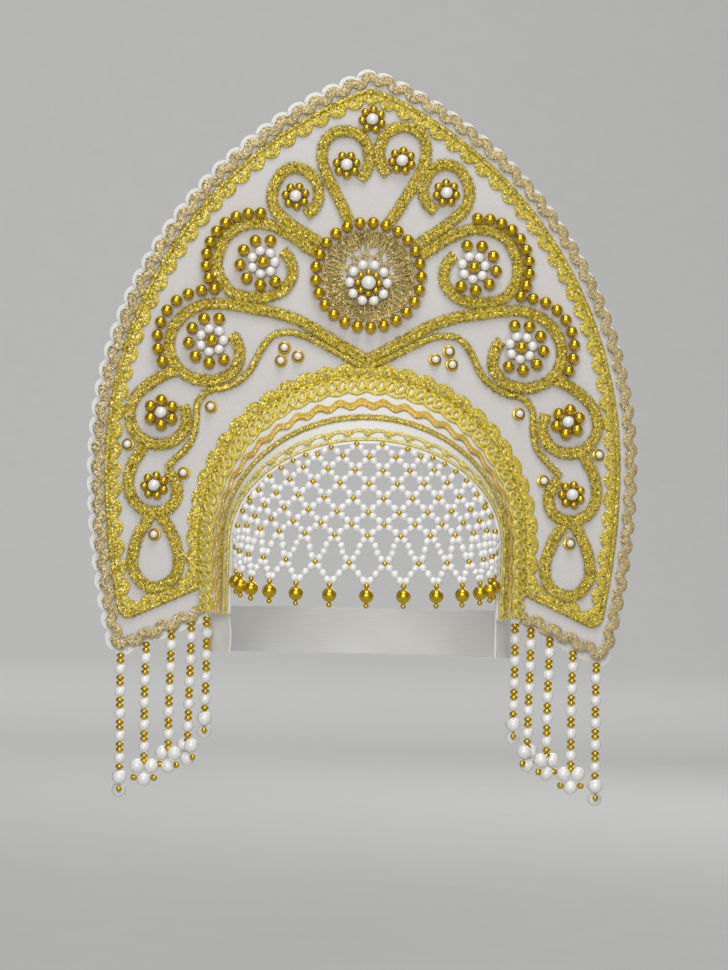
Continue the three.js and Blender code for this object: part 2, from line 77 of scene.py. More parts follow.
# Forehead band: arches from the panel's back to the brow. Columns: share of the band's width, half-width,
# rise, springing height, and distance in front of the panel where the row follows it.
BAND_ROWS = [
    (0.00, 88.1, 88.6, 40.0, -3),
    (0.10, 88.1, 88.6, 40.0, 1),
    (0.28, 81.0, 80.5, 39.5, 9),
    (0.64, 77.0, 67.5, 38.7, None),
    (1.00, 74.0, 56.0, 38.0, None),
]
BAND_ROOT_ROW = 2
BAND_LEG_SHARE = 0.14
BAND_THICKNESS = 2
BAND_WIDTH = 62
BAND_END_Z = -2
BROW_TOP_Z = 94
BROW_END_Y = -13
BROW_FRONT_Y = -38

# Sewing: air under a trim, height of the couched cord, and how near points are joined.
GAP = 0.35
CORD_HEIGHT = 2.4
SEAM = 1e-4
SHARP_EDGE = radians(60)
CREASE = radians(50)
DOWN = Vector((0, 0, -1))
CROSSWISE = Vector((1, 0, 0))
BAND_FRONT = (0, -1, 1)

# Couched cords on the right-hand side, as the points (x, z) that each is sewn through.
SCROLLS = {
    "heart": [(10.8, 216.4), (13.6, 221.3), (18, 230), (24, 241), (28.6, 252), (28.6, 262), (23.5, 268.7),
              (14, 270.3), (6.2, 266), (2.9, 257), (4.2, 248.6), (8, 243.4)],
    "side_scroll": [(26.6, 204.2), (32.4, 208.6), (46, 218.5), (54, 227), (55.4, 237), (50, 247.3),
                    (41.5, 250.2), (33.2, 245.5), (29.6, 236.6), (31.4, 228.6), (36.8, 223.8)],
    "upper_scroll": [(29.3, 198.8), (35, 202.6), (44, 208.8), (56.5, 214.3), (68, 213.9), (77.5, 208.5),
                     (83, 198), (83, 186.5), (76, 176.3), (66, 173.4), (55, 173.8), (46.5, 178.2),
                     (41.8, 186.5), (43.8, 195.3), (48, 199.5)],
    "middle_scroll": [(-1.5, 138.8), (5, 142.6), (14, 147.4), (25, 153.8), (38, 161), (52, 165.2),
                      (66, 167.5), (80, 169.5), (92, 168.2), (102, 162.2), (108.2, 153), (108.6, 140.8),
                      (102, 131), (89.5, 126.3), (77, 129.2), (70.3, 138), (71.6, 148), (75, 152.3)],
    "lower_scroll": [(105, 131.6), (111, 129.6), (120.4, 123.5), (127.5, 116.3), (130.3, 107),
                     (127.3, 97.5), (119, 91.3), (109.5, 91), (102, 95.5), (98.6, 104), (100.6, 112.4)],
    "tail_scroll": [(121.8, 90.4), (125, 84.8), (129, 77), (130, 66.6), (126, 57.8), (117.5, 53),
                    (108.5, 54.6), (103.3, 61), (103.6, 69), (108.4, 76)],
    "teardrop": [(112.4, 51.4), (108.2, 46), (103.6, 37), (101.2, 27), (103, 18), (110, 12.2), (118, 11.6),
                 (124.6, 17.4), (127, 26), (125, 37), (120.6, 46), (117, 51.4)],
}
VINE = [(2.6, 136.6), (14, 142), (31, 151), (42, 154.2), (51, 153), (57.5, 146), (65, 132), (75, 124),
        (87, 120.8), (93, 114), (93.6, 102), (97, 91), (109.5, 77.6)]

# Sewing off the mirror image (x, z).
ASKEW = {"heart_left": (2.3, -3.1), "heart_right": (2, 0), "side_left": (1.5, -4)}

# Bead flowers on the right-hand side. Columns: place (x, z), ring radius, beads in the ring, and whether
# the ring is gold round a pearl or pearl round a gold bead.
FLOWERS = {
    "heart_flower": ((15.5, 251.3), 5.6, 7, "gold"),
    "side_flower": ((42.5, 234), 5.6, 7, "gold"),
    "upper_flower": ((58.3, 192.7), 6.5, 7, "pearl"),
    "middle_flower": ((85.6, 148.8), 6.5, 7, "pearl"),
    "lower_flower": ((112.5, 108.1), 6.8, 6, "gold"),
    "tail_flower": ((115.5, 67.6), 5.6, 7, "gold"),
}
TOP_FLOWER = ((0.6, 273.9), 5.6, 7, "gold")

# Rows of large gold beads in arcs. Columns: centre (x, z), radius, first and last angle, beads.
BEAD_ROWS = {
    "upper_inner_row": ((58.3, 192.7), 12.7, 108, -123, 7),
    "middle_inner_row": ((85.6, 148.8), 12.7, 108, -123, 7),
    "upper_outer_row": ((62.5, 193), 27.2, 95, -35, 10),
    "middle_outer_row": ((88, 149), 27.6, 82, -27, 8),
}
PEARL_CUPS = [(45.6, 145.7), (47.4, 138.4), (38, 141), (85.4, 112), (130.8, 90.2), (99.7, 75),
              (115.1, 40.6)]

MEDALLION_Z = 186.9
RING_RADIUS = 29.3
RING_BEADS = 25
MEDALLION_FLOWER_Z = 182.4

# Strings of beads on the right-hand side. Columns: x, height of the top, pearls, and turn of the end about
# the string in degrees.
STRANDS = [
    (85.7, -3.6, 4, 90),
    (94.4, -6.4, 5, 60),
    (105.2, -11.0, 5, 35),
    (118.8, -18.6, 5, 0),
    (132.5, -25.0, 5, 90),
]
STRAND_PITCH = 12.3

NET_COLUMNS = 13
NET_RISES = [0, 12.3, 27.2, 33.4, 40, 47.5, 55.5, 62.8, 70.2, 80]
NET_TOP = {"a": 71.4, "b": 55.2, "spring": 38, "turn": 5.6, "ease": 0.0078}
NET_FOOT = {"a": 71, "depth": 17, "back_y": -23.5, "turn": 8.3, "ease": -0.009}
NET_DROP_Z = 15.8
NET_DROP_LIFT = 7

RIBBON_WIDTH = 26
RIBBON_LOW_Z = -23
RIBBON_HALF = [(74, -6), (78, 3), (82.3, 14), (84.6, 30), (79, 62), (48, 95), (0, 106)]


def linear(code):
    """Turns an sRGB hex code to linear red, green and blue."""
    channels = [int(code[i:i + 2], 16) / 255 for i in (1, 3, 5)]
    return tuple(c / 12.92 if c <= 0.04045 else ((c + 0.055) / 1.055) ** 2.4 for c in channels)


def colour(name, code, words):
    return FloatVectorProperty(name=name, description=words, default=linear(code), subtype="COLOR",
                               size=3, min=0, max=1)


def length(name, size, words):
    return FloatProperty(name=name, description=words, default=size * MM, min=0, unit="LENGTH")


class HeaddressSizes(bpy.types.PropertyGroup):
    """Sizes of the beads and trims."""
    large_bead: length("Large bead", 6.7, "Beads of the medallion ring, rows, strings and flowers' middles")
    medium_bead: length("Medium bead", 5.5, "Pearls round the medallion's flower")
    small_bead: length("Small bead", 4.3, "Gold beads of the medallion and the strings, pearls of the net")
    drop_bead: length("Drop bead", 8, "Drops of the net, end pearls of the strings, medallion's middle")
    node_bead: length("Net bead", 3, "Gold beads where the net's strings cross")
    cord_width: length("Cord width", 5.6, "Width of the couched scroll cord")
    vine_width: length("Vine width", 3, "Width of the thin couched cord")
    rickrack_pitch: length("Rickrack pitch", 10.8, "Length of one wave of the rim's trims")
    lobe_pitch: length("Lobe pitch", 11, "Length of one lobe of the scalloped braids and laces")


class HeaddressColours(bpy.types.PropertyGroup):
    """Colours of the cloth, threads and beads."""
    felt: colour("Felt", "#d3d0ce", "Wool felt of the panel")
    edging: colour("Edging", "#f4f3ef", "White scalloped edging and white thread")
    satin: colour("Satin", "#efeeec", "Satin of the forehead band")
    ribbon: colour("Ribbon", "#f1f0ec", "Ribbon behind the head")
    champagne: colour("Champagne", "#ccb67c", "Metallic thread of the rim's rickrack")
    braid: colour("Braid", "#dcc43c", "Metallised film of the braids and cords")
    lemon: colour("Lemon", "#f2dd4e", "Thread of the loop lace")
    pale_gold: colour("Pale gold", "#f2df70", "Thread of the brow lace")
    orange_gold: colour("Orange gold", "#f0c846", "Thread of the band's rickrack")
    old_gold: colour("Old gold", "#dcc67c", "Thread of the crocheted rosette")
    bead_gold: colour("Bead gold", "#dfbc30", "Metal film of the gold beads")
    pearl: colour("Pearl", "#f5f3f0", "Lacquer of the pearls")


def size(name):
    """A size of the headdress in millimetres."""
    return getattr(bpy.context.scene.headdress_sizes, name) / MM


# Surfaces that the trims are sewn to

def lerp(a, b, share):
    return a + (b - a) * share


def on_panel(x, z, height=0.0):
    """A point on the panel's front, or off it along the front's normal."""
    normal = Vector((x / PANEL_BEND, -1, PANEL_LEAN)).normalized()
    return Vector((x, x * x / (2 * PANEL_BEND) + z * PANEL_LEAN, z)) + height * normal


LOWER_WAY = (LOWER_CORNER - LOWER_INNER).normalized()
LOWER_IN = Vector((-LOWER_WAY.y, LOWER_WAY.x))


def lower_edge_z(x, inset):
    return LOWER_INNER.y + (x - LOWER_INNER.x) * LOWER_WAY.y / LOWER_WAY.x + inset / LOWER_WAY.x


def lower_corner(inset, lower):
    """Where the side arc, moved inwards by inset, meets the slanted lower edge, moved inwards by lower."""
    centre = Vector((WIDEST_X - LOWER_RADIUS, WIDEST_Z))
    away = (LOWER_INNER + lower * LOWER_IN - centre).dot(LOWER_IN)
    return centre + away * LOWER_IN + sqrt((LOWER_RADIUS - inset) ** 2 - away ** 2) * LOWER_WAY


def rim_at(inset, step, lower=None):
    """The right-hand rim, from 0 at the lower corner to RIM_STEPS at the apex."""
    if step < RIM_LOW_STEPS:
        centre_x, radius = WIDEST_X - LOWER_RADIUS, LOWER_RADIUS - inset
        corner = lower_corner(inset, lower or inset)
        start = atan2(corner.y - WIDEST_Z, corner.x - centre_x)
        angle = lerp(start, 0, step / RIM_LOW_STEPS)
    else:
        centre_x, radius = WIDEST_X - UPPER_RADIUS, UPPER_RADIUS - inset
        angle = acos(-centre_x / radius) * (step - RIM_LOW_STEPS) / RIM_HIGH_STEPS
    return Vector((centre_x + radius * cos(angle), WIDEST_Z + radius * sin(angle)))


def mirrored(half):
    """A line on the right, carried on to the left as its mirror image."""
    return half + [Vector((-at.x, at.y)) for at in half[-2::-1]]


def perimeter(inset, inner_x, lower=None):
    """The rim with its slanted lower edges, from the inner end on the right to the one on the left."""
    start = Vector((inner_x, lower_edge_z(inner_x, lower or inset)))
    rim = [rim_at(inset, RIM_STEPS * i / 80, lower) for i in range(81)]
    edge = [start.lerp(rim[0], i / 20) for i in range(20)]
    return mirrored(edge + rim)


def arch_at(a, b, spring, end_z, share):
    """A point on an arch with straight legs, from its right foot at 0 to its left foot at 1."""
    sign = 1 if share < 0.5 else -1
    half = min(share, 1 - share)
    if half <= BAND_LEG_SHARE:
        return Vector((sign * a, lerp(end_z, spring, half / BAND_LEG_SHARE)))
    angle = pi * (share - BAND_LEG_SHARE) / (1 - 2 * BAND_LEG_SHARE)
    return Vector((a * cos(angle), spring + b * sin(angle)))


def brow_y(z):
    return lerp(BROW_END_Y, BROW_FRONT_Y, (z - BAND_END_Z) / (BROW_TOP_Z - BAND_END_Z))


def band_row_point(row, share):
    at, a, b, spring, forward = row
    place = arch_at(a, b, spring, BAND_END_Z, share)
    if forward is not None:
        return on_panel(place.x, place.y, forward)
    root_at, root_forward = BAND_ROWS[BAND_ROOT_ROW][0], BAND_ROWS[BAND_ROOT_ROW][4]
    root_y = on_panel(place.x, place.y, root_forward).y
    depth = lerp(root_y, brow_y(place.y), (at - root_at) / (1 - root_at))
    return Vector((place.x, depth, place.y))


def band_surface(share, across):
    last = next((i for i, row in enumerate(BAND_ROWS) if row[0] >= across), len(BAND_ROWS) - 1)
    last = max(last, 1)
    low, high = BAND_ROWS[last - 1], BAND_ROWS[last]
    part = (across - low[0]) / (high[0] - low[0])
    return band_row_point(low, share).lerp(band_row_point(high, share), part)


def on_band(share, across, height=0.0):
    """A point on the band's outer face, or off it along the face's normal."""
    step = 0.01
    along = band_surface(min(share + step, 1), across) - band_surface(max(share - step, 0), across)
    over = band_surface(share, min(across + step, 1)) - band_surface(share, max(across - step, 0))
    return band_surface(share, across) + height * along.cross(over).normalized()


def smooth_line(points, steps=10):
    """A smooth curve through points, as closely spaced points."""
    points = [Vector(at).to_3d() for at in points]
    ends = [2 * points[0] - points[1], *points, 2 * points[-1] - points[-2]]
    line = [points[0]]
    for before, start, stop, after in zip(ends, ends[1:], ends[2:], ends[3:]):
        handles = start + (stop - before) / 6, stop - (after - start) / 6
        line += interpolate_bezier(start, *handles, stop, steps + 1)[1:]
    return line


class Route:
    """A line read by the distance along it."""

    def __init__(self, points):
        self.points = [Vector(at).to_3d() for at in points]
        self.reached = [0.0]
        for a, b in zip(self.points, self.points[1:]):
            self.reached.append(self.reached[-1] + (b - a).length)
        self.length = self.reached[-1]

    def step_at(self, distance):
        """The step that a distance falls in, and the share of that step."""
        i = min(max(bisect.bisect_right(self.reached, distance), 1), len(self.reached) - 1)
        return i, (distance - self.reached[i - 1]) / (self.reached[i] - self.reached[i - 1])

    def at(self, distance):
        i, share = self.step_at(distance)
        return self.points[i - 1].lerp(self.points[i], share)

    def way(self, distance, reach=1.5):
        low, high = max(distance - reach, 0), min(distance + reach, self.length)
        return (self.at(high) - self.at(low)).normalized()


def rounded(points, reach):
    """A route along a line with its corners eased over a distance."""
    line = Route(points)
    steps = round(line.length)
    eased = []
    for i in range(steps + 1):
        distance = line.length * i / steps
        near = min(reach, distance, line.length - distance)
        spread = [line.at(distance + near * share) for share in (-1, -0.5, 0, 0.5, 1)]
        eased.append(sum(spread, Vector()) / len(spread))
    return Route(eased)


def along_panel(route):
    """Places a point by distance along a route on the panel, offset to its left, and height."""
    def place(distance, side, height):
        at, way = route.at(distance), route.way(distance)
        return on_panel(at.x - way.y * side, at.y + way.x * side, height)
    return place


def along_band(across):
    """The length of the band at a share of its width, and a function that places points on it."""
    steps = 300
    route = Route([on_band(i / steps, across) for i in range(steps + 1)])

    def place(distance, side, height):
        i, part = route.step_at(distance)
        share = min(max((i - 1 + part) / steps, 0), 1)
        return on_band(share, min(across + side / BAND_WIDTH, 1), height)
    return route.length, place


# Mesh builders

def grid(bm, along, across, place, scale=(1, 1)):
    """A sheet of faces. place takes shares of its length and width; scale sets its map in millimetres."""
    verts = bmesh.ops.create_grid(bm, x_segments=along, y_segments=across, size=0.5)["verts"]
    layer = bm.loops.layers.uv.verify()
    for vert in verts:
        u, v = vert.co.x + 0.5, vert.co.y + 0.5
        for loop in vert.link_loops:
            loop[layer].uv = (u * scale[0], v * scale[1])
        vert.co = place(u, v)
    return verts


def tube(bm, distance, step, sides, place, section):
    """A closed cord. section takes distance and angle and gives side and height for place."""
    def surface(u, v):
        side, height = section(u * distance, tau * v)
        return place(u * distance, side, height)
    verts = grid(bm, max(round(distance / step), 2), sides, surface, (distance, 1))
    bmesh.ops.remove_doubles(bm, verts=verts, dist=SEAM)
    kept = [vert for vert in verts if vert.is_valid]
    rims = {edge for vert in kept for edge in vert.link_edges if edge.is_boundary}
    bmesh.ops.holes_fill(bm, edges=list(rims), sides=sides)


def round_section(width, height, low=GAP):
    """An oval cord that lies on the surface."""
    def section(distance, angle):
        return width / 2 * cos(angle), low + height / 2 * (1 + sin(angle))
    return section


def punch(bm, is_hole):
    """Deletes the faces whose middle, in shares of the sheet's length and width, lies in a hole."""
    layer = bm.loops.layers.uv.verify()

    def middle(face):
        return [sum(axis) / 4 for axis in zip(*[loop[layer].uv for loop in face.loops])]
    holes = [face for face in bm.faces if is_hole(*middle(face))]
    bmesh.ops.delete(bm, geom=holes, context="FACES")


def sheet_area(bm):
    """The area of a sheet in square metres."""
    return sum(face.calc_area() for face in bm.faces) * MM * MM


def thicken(bm, thickness, edge=0.0, front=(0, -1, 0)):
    """Gives a sheet its thickness, behind its front, and rounds its edges."""
    if sum((face.normal for face in bm.faces), Vector()).dot(Vector(front)) < 0:
        bmesh.ops.reverse_faces(bm, faces=bm.faces)
    bm.normal_update()
    away = bm.verts.layers.float_vector.new("away")
    for vert in bm.verts:
        vert[away] = vert.normal
    made = bmesh.ops.extrude_face_region(bm, geom=bm.faces[:], use_keep_orig=True)["geom"]
    for vert in made:
        if isinstance(vert, bmesh.types.BMVert):
            vert.co -= thickness * vert[away]
    bm.verts.layers.float_vector.remove(away)
    bmesh.ops.recalc_face_normals(bm, faces=bm.faces)
    if edge:
        sharp = [e for e in bm.edges if e.is_manifold and e.calc_face_angle() > SHARP_EDGE]
        bmesh.ops.bevel(bm, geom=sharp, offset=edge, affect="EDGES", segments=2, profile=0.5, material=-1)


def template(build):
    """A small shape that is copied many times: its points and faces."""
    bm = bmesh.new()
    build(bm)
    bmesh.ops.recalc_face_normals(bm, faces=bm.faces)
    bm.verts.index_update()
    shape = [vert.co.copy() for vert in bm.verts], [[v.index for v in face.verts] for face in bm.faces]
    bm.free()
    return shape


def add_copies(bm, shape, places):
    """Joins a copy of a shape to the mesh at each of the places, given as matrices."""
    points, faces = shape
    copies = bpy.data.meshes.new("copies")
    every = [place @ at for place in places for at in points]
    shifted = [[i + n * len(points) for i in face] for n in range(len(places)) for face in faces]
    copies.from_pydata(every, [], shifted)
    bm.from_mesh(copies)
    bpy.data.meshes.remove(copies)


def new_object(name, data):
    """A new object in the scene that holds the data."""
    made = bpy.data.objects.new(name, data)
    bpy.context.scene.collection.objects.link(made)
    return made


def mesh_object(name, bm, material):
    mesh = bpy.data.meshes.new(name)
    bm.to_mesh(mesh)
    bm.free()
    mesh.materials.append(material)
    mesh.shade_smooth()
    return new_object(name, mesh)


def finish(name, bm, look, replaced=()):
    """Makes a mesh in millimetres a piece of the headdress."""
    bmesh.ops.recalc_face_normals(bm, faces=bm.faces)
    bm.transform(Matrix.Scale(MM, 4))
    piece = mesh_object(name, bm, finish_of(look))
    piece.data.set_sharp_from_angle(angle=CREASE)
    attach(piece, "root")
    if replaced:
        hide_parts(*replaced)
    return piece


# Beads and filaments

def turned(profile, sides, closed=False):
    """A shape turned about Z from the radius and height of each point of its profile."""
    def build(bm):
        points = [bm.verts.new((radius, 0, height)) for radius, height in profile]
        following = points[1:] + points[:1] if closed else points[1:]
        edges = [bm.edges.new(pair) for pair in zip(points, following)]
        bmesh.ops.spin(bm, geom=points + edges, cent=(0, 0, 0), axis=(0, 0, 1), angle=tau, steps=sides,
                       use_merge=True)
        bmesh.ops.remove_doubles(bm, verts=bm.verts, dist=1e-5)
    return template(build)


def bored_bead(sides, rings, bore):
    """A round bead one unit across with a hole along Z."""
    start = asin(bore)
    angles = [lerp(start, pi - start, i / rings) for i in range(rings + 1)]
    return turned([(sin(angle) / 2, cos(angle) / 2) for angle in angles], sides, closed=True)


def needle(bm):
    """A thin three-sided filament one unit long from its base along Z."""
    bmesh.ops.create_cone(bm, cap_ends=True, segments=3, radius1=0.5, radius2=0, depth=1)
    bmesh.ops.translate(bm, verts=bm.verts, vec=(0, 0, 0.5))


ROUND_BEAD = bored_bead(12, 6, 0.22)
NET_PEARL = bored_bead(10, 5, 0.2)
NEEDLE = template(needle)
CUP = turned([(0, 0), (0.44, 0), (0.5, 0.1), (0.47, 0.22), (0.38, 0.25), (0.3, 0.17), (0, 0.15)], 16)


def bead_place(at, axis, across, along=None):
    """Where a bead sits: its centre, the way of its hole, its diameter and its length along the hole."""
    turn = axis.to_track_quat("Z", "Y").to_matrix().to_4x4()
    return Matrix.Translation(at) @ turn @ Matrix.Diagonal((across, across, along or across, 1))


def ring_places(centre, radius, count, bead, low, start=90.0):
    """Beads sewn in a ring on the panel, strung along the ring."""
    places = []
    for n in range(count):
        angle = radians(start + 360 * n / count)
        at = Vector((centre[0] + radius * cos(angle), centre[1] + radius * sin(angle)))
        way = Vector((-sin(angle), 0, cos(angle)))
        places.append(bead_place(on_panel(at.x, at.y, low + bead / 2), way, bead))
    return places


def bead_piece(name, look, places, replaced=(), shape=ROUND_BEAD):
    """One piece of beads that share a finish."""
    bm = bmesh.new()
    add_copies(bm, shape, places)
    finish(name, bm, look, replaced)


def fuzz(bm, distance, place, width, height, dense, seed, reach=1.5):
    """Short loose filaments, dense to the millimetre, that stand off a cord, most of them at its edges."""
    draw = random.Random(seed)
    places = []
    for _ in range(round(distance * dense)):
        at = draw.uniform(0.3, distance - 0.3)
        angle = draw.choice((0, pi)) + draw.gauss(0, 0.7)
        side, lift = cos(angle), abs(sin(angle))
        foot, low = side * width * 0.45, GAP + height * (0.35 + 0.5 * lift)
        base = place(at, foot, low)
        along = min(max(at + draw.uniform(-1, 1), 0), distance)
        tip = place(along, foot + 1.2 * side, low + 0.8 * lift + draw.uniform(-0.1, 0.6))
        places.append(bead_place(base, tip - base, draw.uniform(0.28, 0.46), draw.uniform(0.4, 1) * reach))
    add_copies(bm, NEEDLE, places)


def cord_piece(name, look, slot, replaced, line, section, step, sides, **loose):
    """A piece made of one cord and its loose filaments. line is the cord's length and what places it."""
    distance, place = line
    bm = bmesh.new()
    tube(bm, distance, step, sides, place, section)
    fuzz(bm, distance, place, **loose)
    finish(name, bm, look, replaced)


# Materials

def per_mm(millimetres):
    """The scale of a pattern on object coordinates from its real size."""
    return 1 / (millimetres * MM)


class Finish:
    """A material being made, with its node tree, its principled shader and its tone."""

    def __init__(self, name, tone, **sockets):
        """Even values are set on the shader's own sockets."""
        self.material = bpy.data.materials.new(name)
        self.material.use_nodes = True
        self.tree = self.material.node_tree
        self.shader = self.tree.nodes["Principled BSDF"]
        self.tone = tone
        self.shader.inputs["Base Color"].default_value = (*tone, 1)
        for socket, value in sockets.items():
            self.shader.inputs[socket.replace("_", " ")].default_value = value

    def add(self, kind, inputs=None, **settings):
        """Adds a node with its settings. Inputs are values, or nodes and sockets to link."""
        node = self.tree.nodes.new(kind)
        for name, value in settings.items():
            setattr(node, name, value)
        for name, value in (inputs or {}).items():
            if isinstance(value, bpy.types.Node):
                value = value.outputs[0]
            if isinstance(value, bpy.types.NodeSocket):
                self.tree.links.new(value, node.inputs[name])
            else:
                node.inputs[name].default_value = value
        return node

    def link(self, output, socket):
        self.tree.links.new(output, self.shader.inputs[socket])

    def coordinates(self, kind):
        return self.add("ShaderNodeTexCoord").outputs[kind]

    def clouds(self, grain, detail, **more):
        """Noise with a grain in millimetres."""
        place = self.coordinates("Object")
        return self.add("ShaderNodeTexNoise",
                        {"Vector": place, "Scale": per_mm(grain), "Detail": detail, **more})

    def shade(self, share):
        """The tone made darker or lighter, with full alpha."""
        return (*[min(channel * share, 1) for channel in self.tone], 1)

    def tint(self, factor, low, high):
        """Mixes two shades of the tone into the colour."""
        shades = {6: self.shade(low), 7: self.shade(high)}
        mix = self.add("ShaderNodeMix", {0: factor, **shades}, data_type="RGBA")
        self.link(mix.outputs[2], "Base Color")

    def bump(self, height, strength, depth):
        """Relief of a depth in millimetres."""
        relief = {"Height": height, "Strength": strength, "Distance": depth * MM}
        self.link(self.add("ShaderNodeBump", relief).outputs[0], "Normal")

    def glints(self, cell, tilt):
        """Small flat flakes of film that each face their own way. Gives each flake's own random value."""
        def vector(operation, inputs):
            return self.add("ShaderNodeVectorMath", inputs, operation=operation)
        place = self.coordinates("Object")
        flakes = self.add("ShaderNodeTexVoronoi", {"Vector": place, "Scale": per_mm(cell)}).outputs["Color"]
        centred = vector("SUBTRACT", {0: flakes, 1: (0.5, 0.5, 0.5)})
        tilted = vector("SCALE", {0: centred, "Scale": tilt})
        normal = self.add("ShaderNodeNewGeometry").outputs["Normal"]
        leaning = vector("ADD", {0: normal, 1: tilted})
        self.link(vector("NORMALIZE", {0: leaning}).outputs[0], "Normal")
        return self.add("ShaderNodeSeparateColor", {0: flakes})


def wool_felt(name, tone):
    # Needled wool felt: no gloss, a faint mottle from the carding and a nap of short crossing fibres.
    felt = Finish(name, tone, Roughness=0.95, Sheen_Weight=0.2, Sheen_Roughness=0.6)
    mottle = felt.clouds(14, 5)
    # Real fibres are 0.03 mm thick; they are drawn as tufts of 0.9 mm so that they show.
    nap = felt.clouds(0.9, 6, Roughness=0.7)
    mixed = felt.add("ShaderNodeMix", {0: 0.8, 2: mottle, 3: nap})
    felt.tint(felt.add("ShaderNodeMapRange", {0: mixed, 1: 0.25, 2: 0.75}), 0.9, 1.06)
    felt.bump(nap, 0.6, 0.35)
    return felt.material


def polyester_edging(name, tone):
    # Woven polyester trimming: bright white, with fine cross ribs and a slight gloss.
    edging = Finish(name, tone, Roughness=0.55)
    place = edging.coordinates("UV")
    ribs = edging.add("ShaderNodeTexWave", {"Vector": place, "Scale": 0.5, "Distortion": 0.6})
    edging.tint(ribs, 0.86, 1)
    edging.bump(ribs, 0.5, 0.2)
    return edging.material


def satin_cloth(name, tone):
    # Polyester satin: long floats of smooth yarn, so a soft broad gloss with faint streaks along the cloth.
    satin = Finish(name, tone, Roughness=0.42, Sheen_Weight=0.15)
    # Yarns are 0.1 mm apart; they are drawn as bundles of 0.9 mm so that they show.
    thread = 0.9
    stretch = {"Vector": satin.coordinates("UV"), "Scale": (0.06 / thread, 1 / thread, 1)}
    drawn = satin.add("ShaderNodeMapping", stretch)
    floats = satin.add("ShaderNodeTexNoise", {"Vector": drawn, "Scale": 1, "Detail": 4})
    satin.tint(floats, 0.93, 1.03)
    satin.bump(floats, 0.3, 0.15)
    return satin.material


def film_thread(name, tone, cell, tilt, painted_dark_share, metallic, roughness):
    # Yarn wound with metallised film: every turn of the film faces its own way, so it glitters.
    thread = Finish(name, tone, Metallic=metallic, Roughness=roughness)
    # Each flake's colour is partly painted light: the darkest flakes are painted dark reflection, the
    # palest are painted glints close to white, and the stops between vary the tone at random.
    painted_light_ramp = thread.add("ShaderNodeValToRGB", {0: thread.glints(cell, tilt)})
    painted_light_stops = painted_light_ramp.color_ramp.elements
    # Painted dark reflection at the lowest stop, painted glint (the tone lifted towards white) at the
    # highest.
    painted_light_stops[0].color = thread.shade(painted_dark_share)
    painted_light_stops[1].color = (*[lerp(channel, 1, 0.45) for channel in tone], 1)
    for place, share in ((0.3, 0.9), (0.75, 1.06)):
        painted_light_stops.new(place).color = thread.shade(share)
    thread.link(painted_light_ramp.outputs[0], "Base Color")
    return thread.material


def plated_bead(name, tone):
    # Vacuum-plated acrylic beads: a mirror of yellow metal film, a little dulled by handling.
    plating = Finish(name, tone, Metallic=1, Roughness=0.2)
    worn = plating.clouds(3, 3)
    plating.tint(worn, 0.85, 1.12)
    dull = plating.add("ShaderNodeMapRange", {0: worn, 3: 0.2, 4: 0.36})
    plating.link(dull.outputs[0], "Roughness")
    return plating.material


def pearl_lacquer(name, tone):
    # Acrylic beads dipped in pearl lacquer: milky white under a clear glossy coat.
    lacquer = Finish(name, tone, Roughness=0.35, Coat_Weight=1, Coat_Roughness=0.1, Coat_IOR=1.7)
    lacquer.tint(lacquer.clouds(5, 2), 0.9, 1.03)
    return lacquer.material


def painted_sweep():
    # Matt painted studio sweep: even and pale, with a trace of roller texture.
    paint = Finish("matt_painted_sweep", linear("#bdbdbb"), Roughness=0.9)
    paint.tint(paint.clouds(40, 3), 0.97, 1.03)
    return paint.material


# Columns: maker, name of the material and its colour. Film threads also have the size of a flake in
# millimetres, its tilt, the share of the colour for the painted dark reflections, metal and roughness.
FINISHES = {
    "felt": (wool_felt, "white_wool_felt", "felt"),
    "edging": (polyester_edging, "white_polyester_edging", "edging"),
    "satin": (satin_cloth, "white_polyester_satin", "satin"),
    "ribbon": (satin_cloth, "white_satin_ribbon", "ribbon"),
    "champagne": (film_thread, "champagne_film_rickrack", "champagne", 0.7, 1.1, 0.5, 0.3, 0.38),
    "braid": (film_thread, "gold_tinsel_cord", "braid", 0.75, 1.4, 0.4, 0.35, 0.26),
    "braid_lobes": (film_thread, "gold_film_braid", "braid", 0.65, 1.1, 0.55, 0.35, 0.32),
    "lemon": (film_thread, "lemon_film_lace", "lemon", 0.6, 0.9, 0.65, 0.2, 0.42),
    "pale_gold": (film_thread, "pale_gold_film_lace", "pale_gold", 0.6, 0.9, 0.65, 0.2, 0.42),
    "orange": (film_thread, "orange_film_rickrack", "orange_gold", 0.6, 0.9, 0.65, 0.25, 0.4),
    "old_gold": (film_thread, "old_gold_crochet_thread", "old_gold", 0.6, 1.2, 0.4, 0.4, 0.33),
    "gold": (plated_bead, "gold_plated_acrylic", "bead_gold"),
    "pearl": (pearl_lacquer, "pearl_lacquered_acrylic", "pearl"),
}


def finish_of(name):
    """The material of a finish, made when it is first asked for."""
    scene = bpy.context.scene
    made = scene.get("headdress_finishes", {})
    if name in made:
        return bpy.data.materials[made[name]]
    maker, label, tone, *values = FINISHES[name]
    material = maker(label, getattr(scene.headdress_colours, tone), *values)
    scene["headdress_finishes"] = {**dict(made), name: material.name}
    return material


# Pieces

